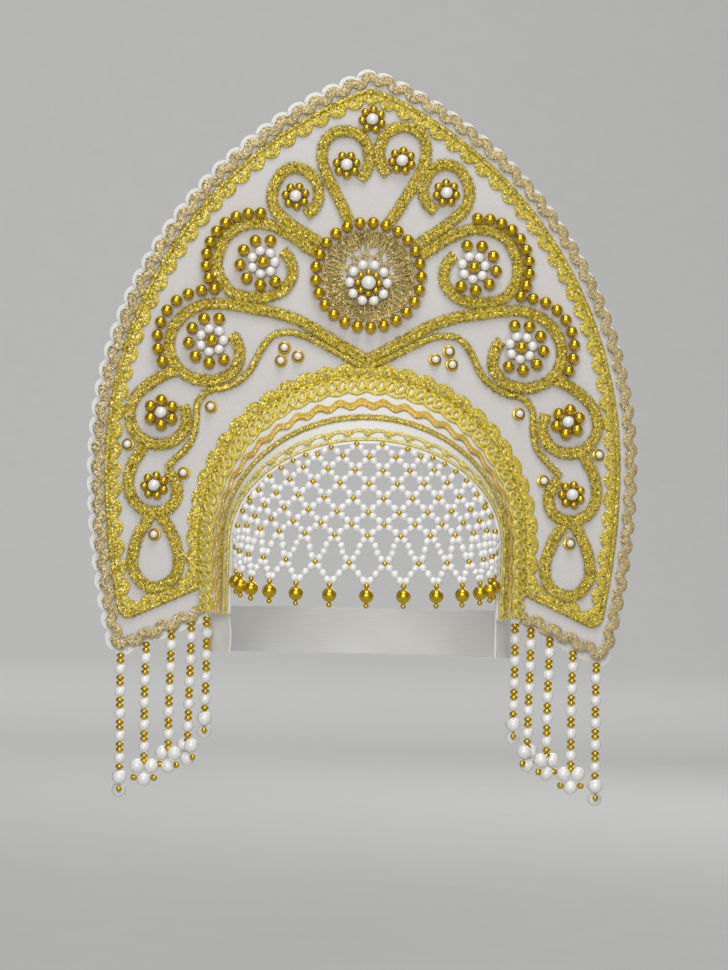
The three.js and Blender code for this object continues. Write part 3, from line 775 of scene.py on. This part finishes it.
class HEADDRESS_OT_panel(bpy.types.Operator):
    """Felt panel with its head opening"""
    bl_idname = "headdress.panel"
    bl_label = "Felt panel"

    def execute(self, context):
        bm = bmesh.new()
        grid(bm, 136, 24, self.place)
        area = sheet_area(bm)
        thicken(bm, PANEL_THICKNESS, edge=0.9)
        panel = finish("felt_panel", bm, "felt", ["plate"])
        return {"FINISHED"}

    @staticmethod
    def place(u, v):
        """From the rim at 0 to the opening at 1, over a faint swell of the felt."""
        step = 2 * RIM_STEPS * min(u, 1 - u)
        rim = rim_at(PANEL_INSET, step)
        a, b, spring = OPENING
        if step < OPENING_LEG_STEPS:
            foot = lower_edge_z(a, PANEL_INSET)
            opening = Vector((a, lerp(foot, spring, step / OPENING_LEG_STEPS)))
        else:
            angle = pi / 2 * (step - OPENING_LEG_STEPS) / (RIM_STEPS - OPENING_LEG_STEPS)
            opening = Vector((a * cos(angle), spring + b * sin(angle)))
        at = rim.lerp(opening, v)
        sign = 1 if u <= 0.5 else -1
        swell = 0.12 * noise.noise(Vector((at.x * sign, at.y, 0)) / 28)
        return on_panel(sign * at.x, at.y, swell)


class HEADDRESS_OT_rim(bpy.types.Operator):
    """White scalloped edging and champagne rickrack round the rim"""
    bl_idname = "headdress.rim"
    bl_label = "Rim trims"

    def execute(self, context):
        inner_x = OPENING[0] + 0.3
        sewn_off = Vector((1.2, 0))
        self.edging(rounded(perimeter(4, inner_x), 3.5))
        self.rickrack(rounded([at + sewn_off for at in perimeter(5.8, inner_x)], 4))
        return {"FINISHED"}

    @staticmethod
    def edging(route):
        """Tape behind the panel whose outer edge is cut in round lobes, each with an eyelet."""
        place = along_panel(route)
        waves = round(route.length / size("rickrack_pitch"))
        pitch = route.length / waves
        inner, outer, depth, eyelet, eyelet_out = 4, 0.4, 3.9, 0.6, 2

        def off_lobe(u):
            """Distance along the rim from the middle of the lobe, as a share of a wave."""
            return (u * waves - 0.25) % 1 - 0.5

        def edge(u, v):
            lobe = depth * sqrt(max(0, 1 - (1.96 * off_lobe(u)) ** 2))
            return place(u * route.length, lerp(inner, -outer - lobe, v), -PANEL_THICKNESS - GAP)

        def in_eyelet(u, v):
            return hypot(off_lobe(u) * pitch, lerp(inner, -outer - depth, v) + eyelet_out) < eyelet
        bm = bmesh.new()
        grid(bm, waves * 20, 14, edge)
        punch(bm, in_eyelet)
        thicken(bm, 0.9)
        finish("white_rim_edging", bm, "edging", ["rim_scallops"])

    @staticmethod
    def rickrack(route):
        """A flat braid in waves, humped across, with plaited yarns."""
        waves = round(route.length / size("rickrack_pitch"))
        width, swing = 5.1, 1.3
        steepest = tau * swing * waves / route.length

        def section(distance, angle):
            turn = tau * waves * distance / route.length
            tape = width * hypot(1, steepest * cos(turn))
            side, lift = cos(angle), sin(angle)
            plait = 0.22 * sin(tau * distance / 1.5 + 5 * abs(side))
            return tape / 2 * side - swing * sin(turn), GAP + 0.85 + lift * (0.8 + plait)
        line = route.length, along_panel(route)
        cord_piece("champagne_rim_rickrack", "champagne", "champagne_rickrack", ["rim_rickrack"], line,
                   section, 0.5, 14, width=1.3 * width, height=1.4, dense=4, seed=11, reach=1.1)


class HEADDRESS_OT_braids(bpy.types.Operator):
    """Scalloped gold braids along the rim and round the head opening"""
    bl_idname = "headdress.braids"
    bl_label = "Scalloped braids"

    def execute(self, context):
        a, b, spring = OPENING
        grow, foot_z = 1.4, 12
        border = rounded(perimeter(12, a + 2.2, 18), 6)
        self.braid("gold_border_braid", border, 1, 3.5, "border_braid", 21)
        arch = Route([arch_at(a + grow, b + grow, spring, foot_z, i / 240) for i in range(241)])
        self.braid("gold_arch_braid", arch, -1, 2.4, "arch_braid", 22)
        return {"FINISHED"}

    @staticmethod
    def braid(name, route, turn, depth, replaced, seed):
        """A straight tinsel cord with a ribbed edge of shallow lobes and an eyelet in each lobe."""
        place = along_panel(route)
        lobes = round(route.length / size("lobe_pitch"))
        pitch = route.length / lobes
        root, full, samples, rows, core = 0.8, 7, 22, 12, 2.4

        def fan(u, v):
            distance = u * route.length
            off = (distance / pitch % 1 - 0.5) * pitch
            reach = full - depth * abs(2 * off / pitch) ** 2.4
            side = root + reach * v
            ribs = 0.14 * cos(26 * atan2(side - root - 1.5, off)) * v
            grain = 0.2 * noise.noise(Vector((distance, side, seed)) / 0.9)
            return place(distance, turn * side, GAP + 0.6 + 0.8 * sin(pi * v) ** 0.5 + ribs + grain)

        def in_eyelet(u, v):
            off = (u * lobes % 1 - 0.5) * pitch
            return (off / 0.7) ** 2 + ((v - 0.3) / 0.1) ** 2 < 1

        def section(distance, angle):
            twist = 0.12 * sin(tau * distance / 1.3 + 3 * angle)
            return cos(angle) * (core / 2 + twist), GAP + 0.95 + sin(angle) * (0.9 + twist)
        bm = bmesh.new()
        grid(bm, lobes * samples, rows, fan)
        punch(bm, in_eyelet)
        thicken(bm, 0.6)
        finish(f"{name}_lobes", bm, "braid_lobes", [replaced])
        cord_piece(f"{name}_cord", "braid", "gold_braid", (), (route.length, place), section, 0.55, 10,
                   width=core, height=1.7, dense=6, seed=seed)


class HEADDRESS_OT_band(bpy.types.Operator):
    """Satin forehead band"""
    bl_idname = "headdress.band"
    bl_label = "Forehead band"

    def execute(self, context):
        def place(u, v):
            ease = 0.25 * noise.noise(Vector((u * 26, v * 3, 5)))
            return on_band(u, v, ease * sin(pi * v))
        bm = bmesh.new()
        grid(bm, 180, 40, place, (360, BAND_WIDTH))
        area = sheet_area(bm)
        thicken(bm, BAND_THICKNESS, edge=0.6, front=BAND_FRONT)
        band = finish("satin_forehead_band", bm, "satin", ["forehead_band"])
        return {"FINISHED"}


class HEADDRESS_OT_band_trims(bpy.types.Operator):
    """Loop lace, rickrack, thin cord and scroll lace on the forehead band"""
    bl_idname = "headdress.band_trims"
    bl_label = "Band trims"

    def execute(self, context):
        self.loop_lace()
        self.rickrack()
        cord_piece("gold_band_cord", "braid_lobes", "gold_braid", (), along_band(0.62),
                   round_section(3.2, 1.8), 0.6, 8, width=3.2, height=1.8, dense=10, seed=31, reach=1.8)
        self.scroll_lace()
        return {"FINISHED"}

    @staticmethod
    def loop_lace():
        """Open lemon loops on a white scalloped ground, sewn edge to edge."""
        distance, place = along_band(0.19)
        loops = 2 * round(distance / size("lobe_pitch"))
        pitch = distance / loops
        wide, tall, cord, edge_cord = 0.37 * pitch, 4.1, 2, 1.9
        around = tau * sqrt((wide ** 2 + tall ** 2) / 2)

        def front(at):
            return 3.2 + 2.4 * abs(sin(pi * at / pitch / 2))

        def ground(u, v):
            return place(u * distance, lerp(-5.6, front(u * distance), v), GAP + 0.6)

        def edge(at, side, height):
            return place(at, side + front(at), height)
        white = bmesh.new()
        grid(white, loops * 8, 6, ground)
        thicken(white, 0.5, front=BAND_FRONT)
        bm = bmesh.new()
        tube(bm, distance, 0.5, 6, edge, round_section(edge_cord, 1.4))
        fuzz(bm, distance, edge, edge_cord, 1.2, dense=5, seed=41)
        draw = random.Random(3)
        for n in range(loops):
            middle = (n + 0.5 + draw.uniform(-0.08, 0.08)) * pitch
            lean = draw.uniform(0.1, 0.34)

            def loop(along, side, height):
                angle = tau * along / around
                up = (tall + side) * sin(angle)
                return place(middle + (wide + side) * cos(angle) + lean * up, up - 0.7, height)
            tube(bm, around, 0.8, 8, loop, round_section(cord, 2, GAP + 0.5))
            fuzz(bm, around, loop, cord, 2, dense=2, seed=n)
        finish("lemon_loop_lace", bm, "lemon", ["arch_lace"])
        finish("white_lace_ground", white, "edging")

    @staticmethod
    def rickrack():
        distance, place = along_band(0.43)
        waves = round(distance / 12.3)
        width, swing = 5.8, 1.9

        def wave(at, side, height):
            return place(at, side + swing * sin(tau * waves * at / distance), height)
        cord_piece("orange_band_rickrack", "orange", "gold_braid", (), (distance, wave),
                   round_section(width, 1.6), 0.6, 8, width=width, height=1.4, dense=5, seed=43, reach=1.3)

    @staticmethod
    def scroll_lace():
        """A line of running loops and small curls on a straight edge."""
        distance, place = along_band(0.885)
        lobes = round(distance / size("lobe_pitch"))
        pitch = distance / lobes
        curl, curl_length = 2, 9

        def loops(at, side, height):
            turn = tau * at / pitch
            return place(min(max(at + 3.2 * sin(turn), 0), distance), side - 4.2 * cos(turn), height)

        def edge(at, side, height):
            return place(at, side + 4.9, height)
        bm = bmesh.new()
        for line, width, step in ((loops, 2.7, 0.5), (edge, 2.4, 0.8)):
            tube(bm, distance, step, 6, line, round_section(width, 1.1))
        for n in range(lobes):
            middle = (n + 0.5) * pitch

            def arc(along, side, height):
                angle = along / curl
                return place(middle - (curl + side) * cos(angle), -0.8 - (curl + side) * sin(angle), height)
            tube(bm, curl_length, 0.7, 5, arc, round_section(1.9, 1.4, GAP + 0.5))
        finish("pale_gold_scroll_lace", bm, "pale_gold", ["brow_lace"])


def askew(name, label):
    """How far a piece is sewn off the mirror image of its twin."""
    return Vector(ASKEW.get(f"{name.split('_')[0]}_{label}", (0, 0)))


class HEADDRESS_OT_scrolls(bpy.types.Operator):
    """Couched tinsel cords: the heart, the scrolls, the teardrops and the vines"""
    bl_idname = "headdress.scrolls"
    bl_label = "Couched scrolls"

    def execute(self, context):
        for label, sign in SIDES.items():
            for i, (name, points) in enumerate(SCROLLS.items()):
                off = askew(name, label)
                sewn = [Vector((sign * x, z)) + off * min(n / 3, 1) for n, (x, z) in enumerate(points)]
                self.scroll(f"{name}_{label}", sewn, i)
            self.vine(f"vine_{label}", [(sign * x, z) for x, z in VINE])
        return {"FINISHED"}

    @staticmethod
    def couch(name, points, section, sides, **loose):
        route = Route(smooth_line(points))
        cord_piece(f"couched_{name}", "braid", "gold_braid", [name], (route.length, along_panel(route)),
                   section, 0.55, sides, **loose)

    def scroll(self, name, points, seed):
        """A flat cord of two plaited ridges with a stitched groove between them."""
        width = size("cord_width")

        def section(distance, angle):
            side, lift = cos(angle), sin(angle)
            groove = 0.7 * exp(-(side / 0.16) ** 2) if lift > 0 else 0
            plait = 0.22 * sin(tau * distance / 1.7 + 5 * abs(side))
            grain = 0.4 * noise.noise(Vector((distance * 1.3, 2 * side, 2 * lift + seed)))
            rise = (0.9 * CORD_HEIGHT / 2 + plait + grain) * lift
            return side * (width / 2 + plait + grain), GAP + CORD_HEIGHT / 2 + rise - groove
        self.couch(name, points, section, 20, width=width, height=CORD_HEIGHT, dense=14, seed=seed,
                   reach=2.3)

    def vine(self, name, points):
        """A thin round cord of twisted yarns."""
        width = size("vine_width")

        def section(distance, angle):
            grain = 0.3 * noise.noise(Vector((distance * 1.2, 2 * cos(angle), 2 * sin(angle))))
            twist = 0.12 * sin(tau * distance / 1.5 + 3 * angle)
            reach = 1 + (grain + twist) / 2
            return width / 2 * reach * cos(angle), GAP + 1.1 + 1.05 * reach * sin(angle)
        self.couch(name, points, section, 12, width=width, height=2, dense=11, seed=77, reach=2)


class HEADDRESS_OT_medallion(bpy.types.Operator):
    """Crocheted rosette with a ring of gold beads and a pearl flower"""
    bl_idname = "headdress.medallion"
    bl_label = "Medallion"

    def execute(self, context):
        self.rosette()
        ring = ring_places((0, MEDALLION_Z), RING_RADIUS, RING_BEADS, size("large_bead"), GAP, 86)
        bead_piece("medallion_gold_ring", "gold", ring, ["medallion_bead_ring"])
        flower = (0, MEDALLION_FLOWER_Z)
        low = GAP + 1.6
        pearls = ring_places(flower, 10.4, 10, size("medium_bead"), low, 72)
        pearls.append(bead_place(on_panel(*flower, low + 4.2), CROSSWISE, size("drop_bead")))
        bead_piece("medallion_pearls", "pearl", pearls, ["medallion_flower"])
        gold = ring_places(flower, 5.9, 8, size("small_bead") * 0.92, low + 0.6)
        bead_piece("medallion_gold_beads", "gold", gold)
        return {"FINISHED"}

    @staticmethod
    def rosette():
        """Ribs of crochet round an open ring of spokes, edged with loops."""
        draw = random.Random(5)
        bm = bmesh.new()
        ribs, stray_loops, spokes, spoke_start = 130, 300, 11, 8.5

        def polar(radius, angle, height):
            return on_panel(radius * cos(angle), MEDALLION_Z + radius * sin(angle), height)

        def inner(angle):
            """The ragged inner edge of the dense crochet."""
            return 15.2 + 1.5 * sin(angle) + 1.1 * cos(11 * angle)

        def outer(angle):
            return 25.4 + 0.8 * abs(cos(7 * angle))

        def backing(u, v):
            angle = tau * u
            return polar(lerp(inner(angle) + 0.8, outer(angle) - 0.7, v), angle, GAP + 0.3)

        def stitch(start, stop, angle, lean, width, rise):
            def place(along, side, height):
                share = along / (stop - start)
                radius = start + along
                turn = angle + lean * share + side / radius
                return polar(radius, turn, height + rise * sin(pi * share))
            tube(bm, stop - start, (stop - start) / 4, 5, place, round_section(width, 0.9))
        grid(bm, 120, 3, backing)
        bmesh.ops.remove_doubles(bm, verts=bm.verts, dist=SEAM)
        thicken(bm, 0.3)
        for n in range(ribs):
            angle = tau * (n + draw.uniform(-0.3, 0.3)) / ribs
            start = inner(angle) + draw.uniform(-1, 0.6)
            stop = outer(angle) + draw.uniform(-0.6, 0.3)
            lean, width, rise = draw.uniform(-0.11, 0.11), draw.uniform(0.7, 1.1), draw.uniform(0.5, 1.2)
            stitch(start, stop, angle, lean, width, rise)
        for _ in range(stray_loops):
            angle, share = draw.uniform(0, tau), draw.uniform(0, 1)
            start = lerp(inner(angle), outer(angle) - 3, share)
            stop = start + draw.uniform(1.6, 3.2)
            stitch(start, stop, angle, draw.uniform(-0.16, 0.16), 0.55, draw.uniform(1.3, 1.9))
        for n in range(spokes):
            for off in (-0.09, 0, 0.09):
                angle = tau * n / spokes + off
                stop = inner(angle) + 1.5
                stitch(spoke_start, stop, angle, draw.uniform(-0.1, 0.1), 1, draw.uniform(0.4, 1))
        for radius, waves, swing in ((25.2, 28, 0.6), (11.2, 22, 0.8)):
            far = Route([polar(radius, tau * i / 90, 0) for i in range(91)]).length

            def edge(along, side, height):
                angle = tau * along / far
                return polar(radius + side + swing * sin(waves * angle), angle, height + 0.5)
            tube(bm, far, far / 180, 5, edge, round_section(1.1, 1))
        finish("crochet_rosette", bm, "old_gold", ["medallion_rosette"])


class HEADDRESS_OT_flowers(bpy.types.Operator):
    """Bead flowers in the scrolls and under the apex"""
    bl_idname = "headdress.flowers"
    bl_label = "Bead flowers"

    def execute(self, context):
        for label, sign in SIDES.items():
            for name, ((x, z), *beads) in FLOWERS.items():
                self.flower(f"{name}_{label}", Vector((sign * x, z)) + askew(name, label), *beads)
        self.flower("top_flower", *TOP_FLOWER)
        return {"FINISHED"}

    @staticmethod
    def flower(name, centre, radius, count, ring_finish):
        """A ring of beads that just touch, round a middle one of the other finish."""
        start = random.Random(name).uniform(60, 120)
        bead, middle = 1.96 * radius * sin(pi / count), size("large_bead")
        ring = ring_places(centre, radius, count, bead, GAP, start)
        bead_piece(f"{name}_ring", ring_finish, ring, [name])
        place = bead_place(on_panel(*centre, GAP + middle * 0.6), Vector((1, 0, 0.4)), middle)
        bead_piece(f"{name}_middle", "pearl" if ring_finish == "gold" else "gold", [place])


class HEADDRESS_OT_bead_rows(bpy.types.Operator):
    """Rows of gold beads along the scrolls"""
    bl_idname = "headdress.bead_rows"
    bl_label = "Bead rows"

    def execute(self, context):
        draw = random.Random(9)
        bead = size("large_bead")
        for label, sign in SIDES.items():
            for name, (centre, radius, start, stop, count) in BEAD_ROWS.items():
                places = []
                for n in range(count):
                    angle = radians(lerp(start, stop, n / (count - 1)))
                    x, z = centre[0] + radius * cos(angle), centre[1] + radius * sin(angle)
                    way = Vector((-sign * sin(angle), draw.uniform(-0.7, 0.7), cos(angle)))
                    places.append(bead_place(on_panel(sign * x, z, GAP + bead / 2), way, bead))
                bead_piece(f"{name}_{label}_beads", "gold", places, [f"{name}_{label}"])
        return {"FINISHED"}


class HEADDRESS_OT_pearl_cups(bpy.types.Operator):
    """Single pearls in gold cups on the open felt"""
    bl_idname = "headdress.pearl_cups"
    bl_label = "Pearl cups"

    def execute(self, context):
        across, pearl = 7.2, 4.2
        cups, pearls = [], []
        for sign in SIDES.values():
            for x, z in PEARL_CUPS:
                out = (on_panel(sign * x, z, 1) - on_panel(sign * x, z, 0)).normalized()
                cups.append(bead_place(on_panel(sign * x, z, 0.1), out, across))
                pearls.append(bead_place(on_panel(sign * x, z, 0.9 + pearl / 2), CROSSWISE, pearl))
        bead_piece("pearl_cup_settings", "gold", cups, shape=CUP)
        bead_piece("pearl_cup_pearls", "pearl", pearls)
        return {"FINISHED"}


class HEADDRESS_OT_strands(bpy.types.Operator):
    """Strings of pearls and gold beads under the panel's lower edges"""
    bl_idname = "headdress.strands"
    bl_label = "Strings of beads"

    def execute(self, context):
        for label, sign in SIDES.items():
            for i, (x, top, pearls, turn) in enumerate(STRANDS):
                hung = on_panel(sign * x, top, -PANEL_THICKNESS / 2)
                self.strand(f"strand_{label}_{i + 1}", hung, pearls, sign * turn, i)
        return {"FINISHED"}

    @staticmethod
    def strand(name, hung, pearls, turn, seed):
        """Two flat gold beads to each pearl, and three large pearls with gold tips at the end."""
        draw = random.Random(f"{name} {seed}")
        large, small, end_pearl = size("large_bead") * 0.94, size("small_bead"), size("drop_bead")
        tall = (STRAND_PITCH - large) / 2
        gold, white = [], []

        def hang(depth):
            swing = 0.35 * sin(depth / 17 + seed)
            return hung + Vector((swing, 0.5 * swing, -depth))
        for k in range(pearls + 1):
            top = k * STRAND_PITCH
            for n in range(2):
                gold.append(bead_place(hang(top + (n + 0.5) * tall), DOWN, small * 1.06, tall * 1.04))
            if k < pearls:
                lean = Vector((draw.uniform(-0.1, 0.1), draw.uniform(-0.1, 0.1), -1))
                white.append(bead_place(hang(top + 2 * tall + large / 2), lean, large))
        end = hang((pearls + 0.55) * STRAND_PITCH + 0.4)
        across = Matrix.Rotation(radians(turn), 3, "Z")
        for x, z in ((-0.5, 0), (0.5, 0), (0, -0.92)):
            white.append(bead_place(end + across @ Vector((x, 0, z)) * end_pearl, DOWN, end_pearl))
        for x in (-0.7, 0.7):
            at = end + across @ Vector((x, 0, -0.8)) * end_pearl
            gold.append(bead_place(at, across @ Vector((0.3, 1, 0)), small * 0.9, tall))
        bead_piece(f"{name}_pearls", "pearl", white, [name])
        bead_piece(f"{name}_gold", "gold", gold)


def net_angle(end, column):
    """Where a column of the net stands round the head: evenly at first, then eased to the sides."""
    return radians(end["turn"] * column + end["ease"] * column ** 3)


def net_top(column):
    angle = net_angle(NET_TOP, column)
    z = NET_TOP["spring"] + NET_TOP["b"] * cos(angle)
    return Vector((NET_TOP["a"] * sin(angle), brow_y(z) - 1.3, z))


def net_foot(column):
    angle = net_angle(NET_FOOT, column)
    z = NET_DROP_Z + NET_DROP_LIFT * (column / NET_COLUMNS) ** 2
    return Vector((NET_FOOT["a"] * sin(angle), NET_FOOT["back_y"] - NET_FOOT["depth"] * cos(angle), z))


def on_net(column, z):
    top, foot = net_top(column), net_foot(column)
    at = top.lerp(foot, (top.z - z) / (top.z - foot.z))
    return Vector((at.x, at.y, z))


class HEADDRESS_OT_net(bpy.types.Operator):
    """Net of pearls over the forehead with gold drops"""
    bl_idname = "headdress.net"
    bl_label = "Pearl net"

    def execute(self, context):
        pearls, knots, hung, thread = [], [], {}, bmesh.new()
        for level in range(len(NET_RISES) - 1):
            for column in range(-NET_COLUMNS, NET_COLUMNS + 1):
                if (column + level) % 2 or not self.is_free(column, level):
                    continue
                knots.append(self.crossing(column, level))
                for side in (-1, 1):
                    if abs(column + side) <= NET_COLUMNS:
                        self.string(column, level, side, pearls, thread)
                        if not self.is_free(column + side, level + 1):
                            hung[column + side] = net_top(column + side)
        node = size("node_bead")
        gold = [bead_place(at, Vector((1, 0, 0.2)), node) for at in knots + list(hung.values())]
        small_beads, drops = self.drops()
        bead_piece("net_pearls", "pearl", pearls, ["pearl_net"], NET_PEARL)
        bead_piece("net_gold_beads", "gold", gold + small_beads, shape=NET_PEARL)
        bead_piece("net_gold_drops", "gold", drops)
        finish("net_thread", thread, "edging")
        return {"FINISHED"}

    @staticmethod
    def height(column, level):
        return net_foot(column).z + NET_RISES[level]

    def is_free(self, column, level):
        """Whether a crossing hangs below the band's edge."""
        return self.height(column, level) < net_top(column).z - 1

    def crossing(self, column, level):
        if self.is_free(column, level):
            return on_net(column, self.height(column, level))
        return net_top(column)

    def string(self, column, level, side, pearls, thread):
        """The pearls from a crossing up to the next one on that side."""
        start_z = self.crossing(column, level).z
        stop_z = self.crossing(column + side, level + 1).z
        shares = [i / 12 for i in range(13)]
        route = Route([on_net(column + side * self.bow(level, share), lerp(start_z, stop_z, share))
                       for share in shares])
        far, node, bead = route.length, size("node_bead"), size("small_bead")
        count = max(round((far - 0.8 * node) / bead), 1)
        pitch = (far - 0.8 * node) / count
        for n in range(count):
            at = 0.4 * node + (n + 0.5) * pitch
            along = min(bead * 1.1, pitch * 1.05)
            pearls.append(bead_place(route.at(at), route.way(at), bead * 1.04, along))

        def place(along, across, height):
            return route.at(along) + Vector((across, height, 0))
        tube(thread, far, far / 4, 3, place, lambda _, angle: (0.15 * cos(angle), 0.15 * sin(angle)))

    @staticmethod
    def bow(level, share):
        """How the strings hang between crossings: upright over the drops and curved above them."""
        if level == 0:
            return share ** 1.15
        if level == 1:
            return share + 0.1 * sin(tau * share)
        return share

    def drops(self):
        """The drops and a small bead below each."""
        small, big = size("node_bead"), size("drop_bead")
        small_beads, drops = [], []
        for column in range(1 - NET_COLUMNS, NET_COLUMNS, 2):
            foot = self.crossing(column, 0)
            drops.append(bead_place(foot + (small + big) * 0.49 * DOWN, DOWN, big))
            small_beads.append(bead_place(foot + (small + big) * 0.98 * DOWN, DOWN, small))
        return small_beads, drops


class HEADDRESS_OT_ribbon(bpy.types.Operator):
    """Satin ribbon from one end of the band to the other behind the head"""
    bl_idname = "headdress.ribbon"
    bl_label = "Back ribbon"

    def execute(self, context):
        route = Route(smooth_line(mirrored([Vector(at) for at in RIBBON_HALF])))

        def place(u, v):
            distance = u * route.length
            at, way = route.at(distance), route.way(distance)
            off = 1.5 * sin(distance / 10) * sin(pi * v + 0.6) * min(1, distance / 30)
            sag = -3 * sin(pi * u)
            return Vector((at.x - way.y * off, at.y + way.x * off, RIBBON_LOW_Z + v * RIBBON_WIDTH + sag))
        bm = bmesh.new()
        grid(bm, 160, 12, place, (route.length, RIBBON_WIDTH))
        thicken(bm, 0.8)
        ribbon = finish("satin_back_ribbon", bm, "ribbon", ["back_ribbon"])
        return {"FINISHED"}


class HEADDRESS_OT_stage(bpy.types.Operator):
    """Pale studio sweep, soft lights and the camera"""
    bl_idname = "headdress.stage"
    bl_label = "Stage"

    FLOOR_Z = -0.26
    SWEEP = {"wide": 26.0, "front": -10.0, "back": 9.0, "radius": 3.0, "tall": 8.0}
    # Columns: place, target, size, power
    LIGHTS = {
        "key_light": ((-0.4, -2.2, 0.7), (0, 0, 0.1), 0.5, 14),
        "front_light": ((0, -3.3, 0.5), (0, 0, 0.1), 3.6, 44),
        "top_light": ((0.1, -0.7, 1.6), (0, 0, 0.1), 0.8, 11),
        "back_light": ((0.8, 2.4, 1.2), (0, 0, 0.1), 1.5, 14),
        "wall_light": ((0, 4.5, 4.0), (0, 9, 0.6), 3.0, 150),
        "floor_light": ((0, 2.6, 3.4), (0, 3.2, 0), 3.0, 60),
    }
    SKY_COLOUR = (0.8, 0.82, 0.85, 1)
    SKY_STRENGTH = 0.25
    CAMERA_AWAY = 2.6
    CAMERA_TURN = radians(-3)
    CAMERA_ROLL = radians(1.3)
    CAMERA_TARGET = Vector((-0.0002, 0.006, 0.0707))
    VIEW_HEIGHT = 0.5367

    def execute(self, context):
        self.sweep()
        self.lights(context.scene)
        self.camera(context.scene)
        return {"FINISHED"}

    def sweep(self):
        """A floor that curves up into a backdrop."""
        s = self.SWEEP
        flat, bend = s["back"] - s["radius"] - s["front"], s["radius"] * pi / 2
        total = flat + bend + s["tall"]

        def place(u, v):
            run = v * total
            x = (u - 0.5) * s["wide"]
            if run < flat:
                return Vector((x, s["front"] + run, self.FLOOR_Z))
            if run < flat + bend:
                angle = (run - flat) / s["radius"]
                rise = s["radius"] * (1 - cos(angle))
                return Vector((x, s["back"] - s["radius"] * (1 - sin(angle)), self.FLOOR_Z + rise))
            return Vector((x, s["back"], self.FLOOR_Z + s["radius"] + run - flat - bend))
        bm = bmesh.new()
        grid(bm, 8, 120, place)
        sweep = mesh_object("studio_sweep", bm, painted_sweep())

    def lights(self, scene):
        for name, (place, target, across, power) in self.LIGHTS.items():
            data = bpy.data.lights.new(name, "AREA")
            data.size = across
            data.energy = power
            light = new_object(name, data)
            light.location = place
            light.rotation_euler = (Vector(target) - Vector(place)).to_track_quat("-Z", "Y").to_euler()
        world = bpy.data.worlds.new("studio")
        world.use_nodes = True
        sky = world.node_tree.nodes["Background"].inputs
        sky["Color"].default_value = self.SKY_COLOUR
        sky["Strength"].default_value = self.SKY_STRENGTH
        scene.world = world
        scene.view_settings.view_transform = "Standard"

    def camera(self, scene):
        data = bpy.data.cameras.new("camera")
        data.lens = data.sensor_width * self.CAMERA_AWAY / self.VIEW_HEIGHT
        camera = new_object("camera", data)
        back = Vector((sin(self.CAMERA_TURN), -cos(self.CAMERA_TURN), 0))
        look = (-back).to_track_quat("-Z", "Y").to_matrix().to_4x4()
        roll = Matrix.Rotation(self.CAMERA_ROLL, 4, "Z")
        camera.matrix_world = Matrix.Translation(self.CAMERA_TARGET + self.CAMERA_AWAY * back) @ look @ roll
        scene.camera = camera


STEPS = (
    HEADDRESS_OT_panel,
    HEADDRESS_OT_rim,
    HEADDRESS_OT_braids,
    HEADDRESS_OT_band,
    HEADDRESS_OT_band_trims,
    HEADDRESS_OT_scrolls,
    HEADDRESS_OT_medallion,
    HEADDRESS_OT_flowers,
    HEADDRESS_OT_bead_rows,
    HEADDRESS_OT_pearl_cups,
    HEADDRESS_OT_strands,
    HEADDRESS_OT_net,
    HEADDRESS_OT_ribbon,
    HEADDRESS_OT_stage,
)


class HEADDRESS_PT_parts(bpy.types.Panel):
    """Lists the pieces and what can be changed about them"""
    bl_label = "Kokoshnik"
    bl_idname = "HEADDRESS_PT_parts"
    bl_space_type = "VIEW_3D"
    bl_region_type = "UI"
    bl_category = "Kokoshnik"

    def draw(self, context):
        for group in (context.scene.headdress_sizes, context.scene.headdress_colours):
            for name in group.__annotations__:
                self.layout.prop(group, name)
        for step in STEPS:
            self.layout.operator(step.bl_idname)


CLASSES = (HeaddressSizes, HeaddressColours, *STEPS, HEADDRESS_PT_parts)


def register():
    for kind in CLASSES:
        bpy.utils.register_class(kind)
    bpy.types.Scene.headdress_sizes = PointerProperty(type=HeaddressSizes)
    bpy.types.Scene.headdress_colours = PointerProperty(type=HeaddressColours)


def unregister():
    del bpy.types.Scene.headdress_colours
    del bpy.types.Scene.headdress_sizes
    for kind in reversed(CLASSES):
        bpy.utils.unregister_class(kind)


def main():
    register()
    for step in STEPS:
        group, name = step.bl_idname.split(".")
        getattr(getattr(bpy.ops, group), name)()


if __name__ == "__main__":
    main()
